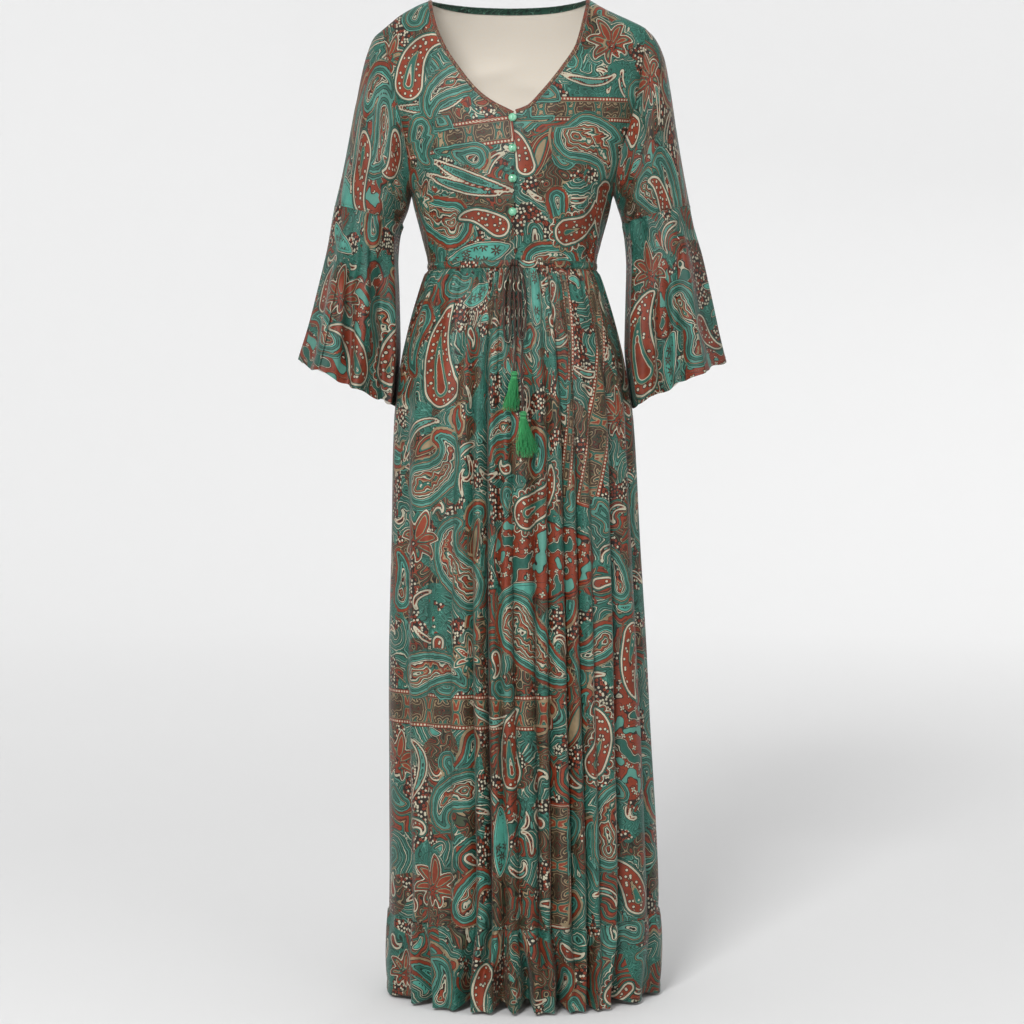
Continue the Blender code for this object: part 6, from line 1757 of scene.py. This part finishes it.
def petal_print(p, colour, steady):
    """Petals round the seeded paisleys, and opening buds."""
    petal = p.plus(p.field("petal"), steady)
    inner = p.math("MINIMUM", petal, p.field("petal_edge"))
    rust = ((-2.0, BROWN), (-0.9, CREAM), (0.3, BROWN), (0.9, RUST), (2.3, BROWN), (2.8, TEAL), (3.6, SAND),
            (4.4, RUST))
    cool = ((-2.0, BROWN), (-0.9, SAND), (0.5, GREEN), (1.2, TEAL), (2.6, CREAM), (3.5, RUST), (5.0, CREAM))
    fill = p.mix(p.over(p.field("shade"), 0.5), *[p.steps(inner, s, -2.0, 10.0) for s in (rust, cool)])
    return p.mix(p.over(petal, -1.5), colour, fill)


def seed_print(p, cloth, colour, steady):
    """Rust paisleys filled with ringed seeds, with a striped core."""
    seeds = p.cells(cloth, 118.0, 0.9)["Distance"]
    colour, depth = layer(p, colour, "seed", steady, -3.4, (
        (-3.4, BROWN), (-2.6, TEAL), (-1.4, BROWN), (-0.6, CREAM), (1.9, BROWN), (2.8, RUST)))
    colour = p.mix(p.times(p.over(depth, 4.0), p.below(seeds, 0.31)), colour,
                   p.steps(seeds, ((0, CREAM), (0.20, BROWN), (0.31, RUST))))
    core = p.steps(depth, ((0, RUST), (12.4, BROWN), (13.2, SAND), (14.2, TEAL), (17.4, CREAM),
                           (18.4, RUST)), 0, DEEPEST)
    return p.mix(p.over(depth, 12.4), colour, core)


def print_colour(p, cloth):
    """The whole print, from the ground up."""
    wobble = p.scaled(p.noise(cloth, 85.0, 2.0), 3.6, -1.8)
    steady = p.times(wobble, 0.34)
    colour = border_print(p, cloth, ground(p, cloth, wobble), steady)
    colour = rust_print(p, cloth, colour, wobble)
    colour = crescent_print(p, leaf_print(p, cloth, colour, steady), steady)
    colour = petal_print(p, paisley_print(p, cloth, colour, wobble), steady)
    return seed_print(p, cloth, colour, steady)


# ---------------------------------------------------------------- materials
def weave(p, cloth, pitch=0.0011, depth=0.00012):
    """Threads over and under each other, with slubs along them."""
    parts = p.split(cloth)
    slub = p.noise(p.vector("MULTIPLY", cloth, (1.0, 0.12, 1.0)), 1400.0, 2.0)
    warp, weft = [p.math("SINE", p.times(parts[k], 2 * math.pi / pitch)) for k in (0, 1)]
    p.bump(p.scaled(p.times(warp, weft), 0.5, slub), depth, 0.6)


def printed_cloth(name, strength=1.0):
    """Printed viscose: fine weave, faint slubs and a soft sheen; strength below 1 darkens the whole print as
    painted shade.
    """
    p = Paint(name)
    cloth = p.cloth()
    mottle = p.scaled(p.noise(cloth, 34.0, 2.0), 0.75, p.times(p.noise(cloth, 240.0, 2.0), 0.25))
    # random mottle, times strength, which below 1 is painted shade over the whole print
    mottle_and_painted_shade = [(at, tuple(strength * part for part in tint[:3]) + (1.0,))
            for at, tint in ((0.30, rgb(196, 200, 200)), (0.50, rgb(232, 232, 232)), (0.68, WHITE))]
    colour = p.mix(1.0, print_colour(p, cloth), p.steps(mottle, mottle_and_painted_shade, smooth=True), "MULTIPLY")
    weave(p, cloth)
    return p.finish(colour, 0.52, sheen=0.05, specular=0.30)


def plain_cloth(name, colour, darker):
    """The unprinted wrong side, or a plain trim."""
    p = Paint(name)
    cloth = p.cloth()
    tone = p.steps(p.noise(cloth, 300.0, 3.0), ((0.3, darker), (0.7, colour)), smooth=True)
    weave(p, cloth, 0.0012, 0.00015)
    return p.finish(tone, 0.7, 0.15, 0.25)


# ---------------------------------------------------------------- the cloth pieces
cloth_print = printed_cloth("printed_viscose")
# sleeves and flounces: the same print at 0.86, painted shade as if they fell back from the light
sleeve_print_painted_shade = printed_cloth("printed_viscose_deep", 0.86)
wrong_side = plain_cloth("wrong_side", LINING, DARK_LINING)
grids = bodice_grids()
panels = [creased(p) for p in bodice_panels(grids) + sleeve_panels(grids) + skirt_panels()]
panels = {panel.name: panel for panel in panels + [casing_panel()]}
pieces = {}
for name, panel in panels.items():
    # sleeves and flounces wear the copy darkened with painted shade
    face = sleeve_print_painted_shade if name.startswith("sleeve") else cloth_print
    pieces[name] = shell(panel, panel_print(panel), [face, wrong_side])
    settle(pieces[name], name)


# ---------------------------------------------------------------- tubes and stitches
def tube(points, radius, sides):
    """Points and faces of a round tube along a line, closed at both ends; radius may vary."""
    points = np.asarray(points, float)
    ahead = unit(np.gradient(points, axis=0))
    side = np.cross(ahead[0], (0.0, 1.0, 0.0) if abs(ahead[0][1]) < 0.9 else (1.0, 0.0, 0.0))
    angle = full_turn(sides)[:, None]
    rings = []
    for middle, size, way in zip(points, np.broadcast_to(radius, len(points)), ahead):
        side = unit(side - way * np.dot(side, way))
        rings.append(middle + size * (np.cos(angle) * side + np.sin(angle) * np.cross(way, side)))
    faces = ring_faces(len(points), sides)
    faces.append(tuple(reversed(range(sides))))
    faces.append(tuple(range((len(points) - 1) * sides, len(points) * sides)))
    return np.concatenate(rings), faces


def ring_faces(count, sides, first=0):
    """The faces between rings of points numbered one after another."""
    faces = []
    for a in range(first, first + (count - 1) * sides, sides):
        for k in range(sides):
            n = (k + 1) % sides
            faces.append((a + k, a + n, a + sides + n, a + sides + k))
    return faces


TRIM_SHARP_EDGE = math.radians(50)


def joined(name, parts, material, cloth=None):
    """One mesh from many lists of points and faces."""
    points, faces, marks, base = [], [], [], 0
    for number, (spots, rims) in enumerate(parts):
        points.append(spots)
        faces += [tuple(base + k for k in face) for face in rims]
        marks.append(np.full((len(spots), 1), (number * 0.618) % 1.0))
        base += len(spots)
    mesh = bpy.data.meshes.new(name)
    mesh.from_pydata(np.concatenate(points), [], faces)
    mesh.materials.append(material)
    mesh.shade_smooth()
    mesh.set_sharp_from_angle(angle=TRIM_SHARP_EDGE)
    put_field(mesh, "mark", np.concatenate(marks))
    if cloth is not None:
        put_field(mesh, "cloth", cloth)
    return place(name, mesh)


STITCH = 0.0022          # length of a machine stitch
STITCH_GAP = 0.0009
STITCH_LIFT = 0.00012
STITCH_RADIUS = 0.00022


def stitch_line(points, normals):
    """Short threads one after another along a line on the cloth."""
    length = lengths(points)
    count = int(length[-1] / (STITCH + STITCH_GAP))
    share = np.array([0.0, 0.32, 0.68, 1.0]) * STITCH / (STITCH + STITCH_GAP)
    rise = (STITCH_LIFT + np.array([-0.6, 0.5, 0.5, -0.6]) * STITCH_RADIUS)[:, None]
    parts = []
    for k in range(count):
        at = (k + share) * length[-1] / count
        spots = along_line(points, length, at) + along_line(normals, length, at) * rise
        parts.append(tube(spots, STITCH_RADIUS, 4))
    return parts


TWIST_PITCH = 0.0009


def thread_material(name, light, dark, roughness=0.6):
    """Twisted thread, each strand a little lighter or darker than the next."""
    p = Paint(name)
    twist = p.math("SINE", p.times(p.split(p.object_place())[2], 2 * math.pi / TWIST_PITCH))
    tone = p.steps(p.scaled(twist, 0.12, p.field("mark")), ((0.0, dark), (1.0, light)), smooth=True)
    p.bump(twist, 0.0001, 0.5)
    return p.finish(tone, roughness, 0.2, 0.3)


thread = thread_material("sewing_thread", rgb(104, 102, 79), rgb(50, 57, 44))


def panel_row(panel, row):
    """A row of a panel and the ways out of it; a ring's row comes back to its start."""
    line, out = panel.outer[row], panel.normals[row]
    if panel.ring:
        line, out = np.concatenate([line, line[:1]]), np.concatenate([out, out[:1]])
    return line, out


def sew(name, parts):
    """Stitches as one piece."""
    settle(joined("stitches_" + name, parts, thread))


# The rows of each panel's fine grid that are stitched, counted from its top or, below 0, its end.
SEWN_ROWS = {"hem_ruffle_front": (-4, 1), "hem_ruffle_back": (-4, 1), "skirt_front": (-2,),
             "skirt_back": (-2,), "sleeve_flounce_right": (-3,), "sleeve_flounce_left": (-3,),
             "sleeve_right": (-2,), "sleeve_left": (-2,), "waist_casing": (1, -2)}
PLACKET_COLUMN = 2
placket = panels["front_bodice_right"]
sew("front_bodice_right",
    stitch_line(*[grid[:V_ROW * BODICE_ROWS, PLACKET_COLUMN] for grid in (placket.outer, placket.normals)]))
for name, rows in SEWN_ROWS.items():
    sew(name, [part for row in rows for part in stitch_line(*panel_row(panels[name], row))])


# ---------------------------------------------------------------- neck bindings
def curled_cloth(name, tones, roughness, sheen, specular, scale, detail, turns, across, repeats,
                 pitch=0.0011):
    """A trim's small curled print: its lines wind with the noise and repeat along the cloth."""
    p = Paint(name)
    cloth = p.cloth()
    along = p.times(p.split(cloth)[across], repeats)
    tone = p.steps(p.coils(along, cloth, scale, detail, turns), tones)
    weave(p, cloth, pitch)
    return p.finish(tone, roughness, sheen, specular)


def binding_colour(name, light, mid, dark):
    """A binding's curled print in three tones."""
    return curled_cloth(name, ((0, light), (0.14, dark), (0.42, mid), (0.80, dark)), 0.55, 0.12, 0.35,
                        60.0, 2.0, 6.0, 1, 90.0)


BINDING_THICK = 0.0016
BINDING_CROWN = 0.0008
RIPPLE = 0.00012
RIPPLE_PITCH = 0.011
binding_print = binding_colour("binding_print", rgb(138, 113, 85), rgb(102, 44, 28), rgb(50, 34, 25))
binding_dark = binding_colour("binding_dark", rgb(72, 111, 94), rgb(28, 64, 51), rgb(18, 35, 28))


def binding(name, surface, rows, material, seams):
    """A folded binding: rounded across, with a row of stitches beside its outer edge."""
    share, v = np.meshgrid(np.linspace(0, 1, 9), rows)
    outer = surface(share, v)
    normals = grid_normals(outer)
    for end in seams:
        normals[end] = shoulder_normal(outer[end, :, 0])
    down = run(outer, 0)
    crown = BINDING_CROWN * (1 - (2 * share - 1) ** 2) ** 0.6
    outer = outer + normals * (crown + RIPPLE * np.sin(down * 2 * math.pi / RIPPLE_PITCH))[..., None]
    cloth = flat_cloth(share * BINDING_WIDTH + CLOTH_START["binding"], run(outer, 0))
    made = shell(Panel(name, outer, normals, cloth, False), {"cloth": cloth}, [material] * 2, BINDING_THICK)
    settle(made, name)
    sew(name, stitch_line(outer[:, 6], normals[:, 6]))
    return made


def v_binding(side):
    """Surface of the binding along one side of the V."""
    def surface(u, v):
        x, z = v_edge_out(v, side, BINDING_WIDTH * u)
        return point(x, torso_y(x, z, -1), z)
    return surface


def back_binding(u, q):
    """Surface of the binding across the back neck."""
    x0, z0 = back_neck(q)
    x1 = neck_corner(np.where(q < 0, -1.0, 1.0)) * np.abs(q)
    z1 = back_cloth_top(x1) + GAP + CLEAR
    x1 = x1 - np.sign(q) * q ** 2 * GAP
    x, z = x0 + (x1 - x0) * u, z0 + (z1 - z0) * u
    z = np.minimum(z, shoulder_height(x))
    return point(x, torso_y(x, z, 1), z)


for side, end in SIDES:
    binding("neck_binding_" + end, v_binding(side),
                                              np.linspace(V_ROW, TOP_ROW, 121), binding_print, (-1,))
binding("neck_binding_back", back_binding,
                                        np.sin(np.linspace(-0.5, 0.5, 161) * math.pi), binding_dark, (0, -1))


# ---------------------------------------------------------------- buttons
def button_material():
    """Clouded glossy green."""
    p = Paint("button_gloss")
    cloud = p.noise(p.object_place(), 260.0, 3.0, distortion=0.6)
    tone = p.steps(cloud, ((0.30, rgb(66, 128, 96)), (0.50, rgb(92, 160, 126)), (0.72, rgb(140, 190, 162))),
                   smooth=True)
    return p.finish(tone, 0.14, 0.0, 0.6, Coat_Weight=0.6, Coat_Roughness=0.05)


# A button's turned profile: radius and rise from the cloth, as shares of its radius and height.
BUTTON_PROFILE = ((0.80, 0.0), (0.90, 0.03), (0.98, 0.12), (1.0, 0.22), (0.985, 0.34), (0.93, 0.42),
                  (0.885, 0.44), (0.86, 0.47), (0.85, 0.52), (0.80, 0.62), (0.68, 0.76), (0.52, 0.88),
                  (0.34, 0.955), (0.16, 0.99))
BUTTON_SIDES = 48
BUTTON_CLEAR = 0.0004    # from the cloth


def button(number, height):
    """A turned button on the placket."""
    seat = float(torso_y(np.array(BUTTON_X), np.array(height), -1)) - GAP - BUTTON_CLEAR
    turn = full_turn(BUTTON_SIDES)
    rings = [point(BUTTON_X + radius * BUTTON_RADIUS * np.cos(turn), seat - rise * BUTTON_RISE,
                   height + radius * BUTTON_RADIUS * np.sin(turn)) for radius, rise in BUTTON_PROFILE]
    points = np.concatenate(rings + [[[BUTTON_X, seat, height]], [[BUTTON_X, seat - BUTTON_RISE, height]]])
    faces = ring_faces(len(rings), BUTTON_SIDES)
    low, high, last = len(points) - 2, len(points) - 1, (len(rings) - 1) * BUTTON_SIDES
    for k in range(BUTTON_SIDES):
        n = (k + 1) % BUTTON_SIDES
        faces += [(low, n, k), (last + k, last + n, high)]
    made = joined("gloss_button_%d" % number, [(points, faces)], button_gloss)
    settle(made, "button_%d" % number)


button_gloss = button_material()
for number, height in enumerate(BUTTON_HEIGHTS, 1):
    button(number, height)

# ---------------------------------------------------------------- drawstring
CORD_SIDES = 14
CORD_STEP = 0.0012       # between the rings of its mesh
KNOT_CORD = 0.0021       # radius of the cord in the knot
KNOT_TURNS = 3.2
KNOT_FULL = 0.86         # share of the solid's length that the turns fill
drawstring_cloth = curled_cloth(
    "drawstring_cloth", ((0, CREAM), (0.10, BROWN), (0.40, DEEP_RUST), (0.52, BROWN), (0.66, GREEN),
                         (0.80, BROWN)), 0.62, 0.15, 0.3, 55.0, 1.0, 2.0, 0, 168.0, 0.0010)


def cord_tube(name, line, radius):
    """A rolled cloth tube, slightly uneven, narrower at its ends; its lengthwise lines are its print's."""
    length = lengths(line)
    at = np.linspace(0, length[-1], int(length[-1] / CORD_STEP) + 2)
    fine = along_line(line, length, at)
    for _ in range(3):
        fine[1:-1] = (fine[:-2] + 2 * fine[1:-1] + fine[2:]) / 4
    wave = radius * (1 + 0.03 * np.sin(at * 430) + 0.02 * np.sin(at * 1100 + 1))
    wave[[0, -1]] *= 0.8
    turn = np.tile(full_turn(CORD_SIDES), len(fine))
    cloth = np.stack([turn * radius, np.repeat(at, CORD_SIDES), 0 * turn], axis=1)
    made = joined("cloth_" + name, [tube(fine, wave, CORD_SIDES)], drawstring_cloth, cloth)
    settle(made, name)
    return made, fine


def knot_line():
    """The cord wound round itself inside the knot's form."""
    wind = np.linspace(-0.5, 0.5, 120)
    wide = KNOT_RADIUS - KNOT_CORD
    bulge = np.sqrt(np.maximum(1 - (2 * wind * KNOT_FULL) ** 2, 0))
    turn = wind * KNOT_TURNS * 2 * math.pi
    return knot_centre() + np.stack([wind * 2 * wide[0] * KNOT_FULL, -np.cos(turn) * wide[1] * bulge,
                                     np.sin(turn) * wide[2] * bulge], axis=1)


cords = {name: cord_tube(name, strand_path(name), CORD_RADIUS) for name in STRANDS}
cord_tube("drawstring_knot", knot_line(), KNOT_CORD)

# ---------------------------------------------------------------- tassels
Tassel = namedtuple("Tassel", "cord length lean spread head")
TASSELS = {
    "tassel_right": Tassel("drawstring_end_right", 0.0560, -0.10, 0.0080, 0.0052),
    "tassel_left": Tassel("drawstring_end_left", 0.0640, 0.12, 0.0130, 0.0054),
}
TASSEL_THREADS = 96
THREAD_RADIUS = 0.00036
HEAD_THREAD = 0.00042
HEAD_TURNS = 26
NECK_THREAD = 0.00045
NECK_TURNS = 4
NECK_PITCH = 0.0007
GOLDEN_ANGLE = 2.39996   # radians, so that the threads fill the round evenly
THREAD_SWAY = 0.0022
THREAD_RIPPLE = 0.0006
# Shares of the head's radius: of its turns and core, of the tied neck, and how far below the
# cord's end the last turn lies, the neck is tied and the threads start.
HEAD_WIDE, HEAD_SLANT, CORE_WIDE, CORE_DEEP, NECK_WIDE = 0.90, 0.10, 0.86, 0.82, 0.72
HEAD_TALL, NECK_DROP, THREAD_DROP, THREAD_START = 1.6, 1.42, 1.30, 0.62


def winding(top, radius, drop, slant, start, thread_radius):
    """One turn of thread round the head or neck, some way below its top and tilted by a slant."""
    turn = np.linspace(0, 2 * math.pi, 25)
    line = point(radius * np.cos(turn), radius * np.sin(turn), slant * np.sin(turn + start) - drop)
    return tube(top + line, thread_radius, 5)


def tassel_head(top, head):
    """Turns of thread over a round core, and a tied neck below them."""
    parts = []
    for k in range(HEAD_TURNS):
        share = (k + 0.5) / HEAD_TURNS
        radius = head * HEAD_WIDE * math.sin(math.pi * min(share * 1.06 + 0.06, 1.0)) ** 0.55
        parts.append(winding(top, radius, HEAD_TALL * head * share, head * HEAD_SLANT, k, HEAD_THREAD))
    turn = np.linspace(0, math.pi, 9)
    core = top + point(0.0, 0.0, -head * CORE_DEEP * (1 - np.cos(turn)))
    parts.append(tube(core, head * CORE_WIDE * np.sin(np.clip(turn, 0.25, math.pi - 0.25)) ** 0.6, 20))
    for k in range(NECK_TURNS):
        parts.append(winding(top, head * NECK_WIDE, NECK_DROP * head + k * NECK_PITCH, 0.0, 0, NECK_THREAD))
    return parts


def tassel(name, size, number):
    """A wound head with a tied neck, and loose threads of uneven length below it."""
    noise = np.random.default_rng(70 + number)
    head = size.head
    top = strand_path(size.cord)[-1] - np.array([0.0, 0.0, GAP + CLEAR])
    behind = skirt_front_y(np.array([top[0]] * 2), np.array([top[2], top[2] - size.length]))
    slope = (behind[1] - behind[0]) / size.length
    parts = tassel_head(top, head)
    t = np.linspace(0, 1, 9)
    spread = ease(t * 0.9 + 0.05)
    for k in range(TASSEL_THREADS):
        way = math.sqrt((k + 0.5) / TASSEL_THREADS) * np.array([math.cos(k * GOLDEN_ANGLE),
                                                                math.sin(k * GOLDEN_ANGLE)])
        length = (size.length - 1.5 * head) * noise.uniform(0.80, 1.0) * (1 if k % 9 else 0.9)
        sway = noise.uniform(-1, 1, 2) * THREAD_SWAY
        x = way[0] * (head * THREAD_START + spread * size.spread) + size.lean * length * t + \
            sway[0] * np.sin(t * math.pi * noise.uniform(0.8, 2.2)) + THREAD_RIPPLE * np.sin(t * 9 + k)
        y = way[1] * (head * THREAD_START + spread * head * 0.32) + slope * length * t + \
            sway[1] * 0.35 * np.sin(t * math.pi)
        line = top + point(x, y, -THREAD_DROP * head - length * t)
        parts.append(tube(line, THREAD_RADIUS * (1 - 0.35 * t ** 6), 4))
    made = joined("threads_" + name, parts, tassel_thread)
    settle(made, name)
    return made


tassel_thread = thread_material("tassel_thread", rgb(67, 162, 97), rgb(21, 90, 50), 0.5)
tassels = {name: tassel(name, size, number) for number, (name, size) in enumerate(TASSELS.items())}

# ---------------------------------------------------------------- the columns of what a sheet was cut to; no sheet is listed
# Flat width and length in metres, the share of that rectangle that is cloth, and what holds it.
Cut = namedtuple("Cut", "width length share held rests_on trim")

# ---------------------------------------------------------------- studio
CAMERA = (0.0007, -3.5, -0.556)
AIM_HEIGHT = -0.7126
LENS = 87.9              # millimetres, for a picture 36 millimetres wide
FLOOR = HEM - 0.004
FLOOR_FLAT = 5.5         # radius of its level part
FLOOR_CURVE = 3.5        # radius of its rise into the wall
FLOOR_SIDES = 64
FLOOR_RINGS = (1.5, 3.5, FLOOR_FLAT)
WALL_RISES = (6.0, 9.0)  # of the wall's rings above the floor
# Painted shade and light on the floor: its tone at each distance from its middle, darker where the lamps fall
# and lighter far out, so that it shows evenly bright.
FLOOR_PAINTED_SHADE = ((0.0, 213), (1.5, 220), (3.0, 232), (5.5, 246), (9.5, 249))

camera = bpy.data.cameras.new("camera")
camera.lens = LENS
camera.sensor_width = 36.0
camera.clip_end = 60.0
viewer = place("camera", camera)
viewer.location = CAMERA
viewer.rotation_euler = (math.pi / 2 - math.atan2(CAMERA[2] - AIM_HEIGHT, -CAMERA[1]), 0.0, 0.0)
bpy.context.scene.camera = viewer


def studio_floor():
    """A pale floor that rises into a wall far behind, all round."""
    rings = [(radius, 0.0) for radius in FLOOR_RINGS]
    rings += [(FLOOR_FLAT + FLOOR_CURVE * math.sin(a), FLOOR_CURVE * (1 - math.cos(a)))
              for a in np.linspace(0.1, math.pi / 2, 12)]
    wall = FLOOR_FLAT + FLOOR_CURVE
    turn = full_turn(FLOOR_SIDES)
    points = [[(0.0, 0.0, FLOOR)]]
    points += [point(radius * np.cos(turn), radius * np.sin(turn), FLOOR + rise)
               for radius, rise in rings + [(wall, rise) for rise in WALL_RISES]]
    faces = [(0, 1 + k, 1 + (k + 1) % FLOOR_SIDES) for k in range(FLOOR_SIDES)]
    faces += [face[::-1] for face in ring_faces(len(points) - 1, FLOOR_SIDES, 1)]
    mesh = bpy.data.meshes.new("studio")
    mesh.from_pydata(np.concatenate(points), [], faces)
    mesh.shade_smooth()
    p = Paint("studio_paint")
    x, y, _ = p.split(p.object_place())
    # painted shade under the lamps and painted light far out, by distance from the middle
    tone = p.steps(p.far(x, y), [(at, rgb(tone, tone, tone)) for at, tone in FLOOR_PAINTED_SHADE], 0, 10, True)
    mesh.materials.append(p.finish(tone, 0.9, 0.0, 0.2))
    place("studio", mesh)


studio_floor()

# Soft lights: name, place, size, power in watts, and where each one points.
Light = namedtuple("Light", "name place size power aim")
LIGHTS = (
    Light("key", (-1.5, -5.0, 2.1), 1.5, 290, (0.0, 0.0, -0.8)),
    Light("fill", (3.2, -4.0, 1.6), 2.4, 26, (0.0, 0.0, -0.7)),
    Light("back", (2.4, 6.6, 3.2), 2.0, 45, (0.0, 0.0, -0.8)),
)
SKY = 0.69               # strength of the light from all round
for light in LIGHTS:
    lamp = bpy.data.lights.new(light.name, "AREA")
    lamp.size = light.size
    lamp.energy = light.power
    made = place(light.name, lamp)
    made.location = light.place
    way = np.array(light.aim) - np.array(light.place)
    made.rotation_euler = (math.pi / 2 + math.atan2(way[2], math.hypot(way[0], way[1])), 0.0,
                           math.atan2(way[1], way[0]) - math.pi / 2)

world = bpy.data.worlds.new("studio_air")
bpy.context.scene.world = world
bpy.context.scene.view_settings.view_transform = "Standard"
world.use_nodes = True
world.node_tree.nodes["Background"].inputs["Color"].default_value = WHITE
world.node_tree.nodes["Background"].inputs["Strength"].default_value = SKY
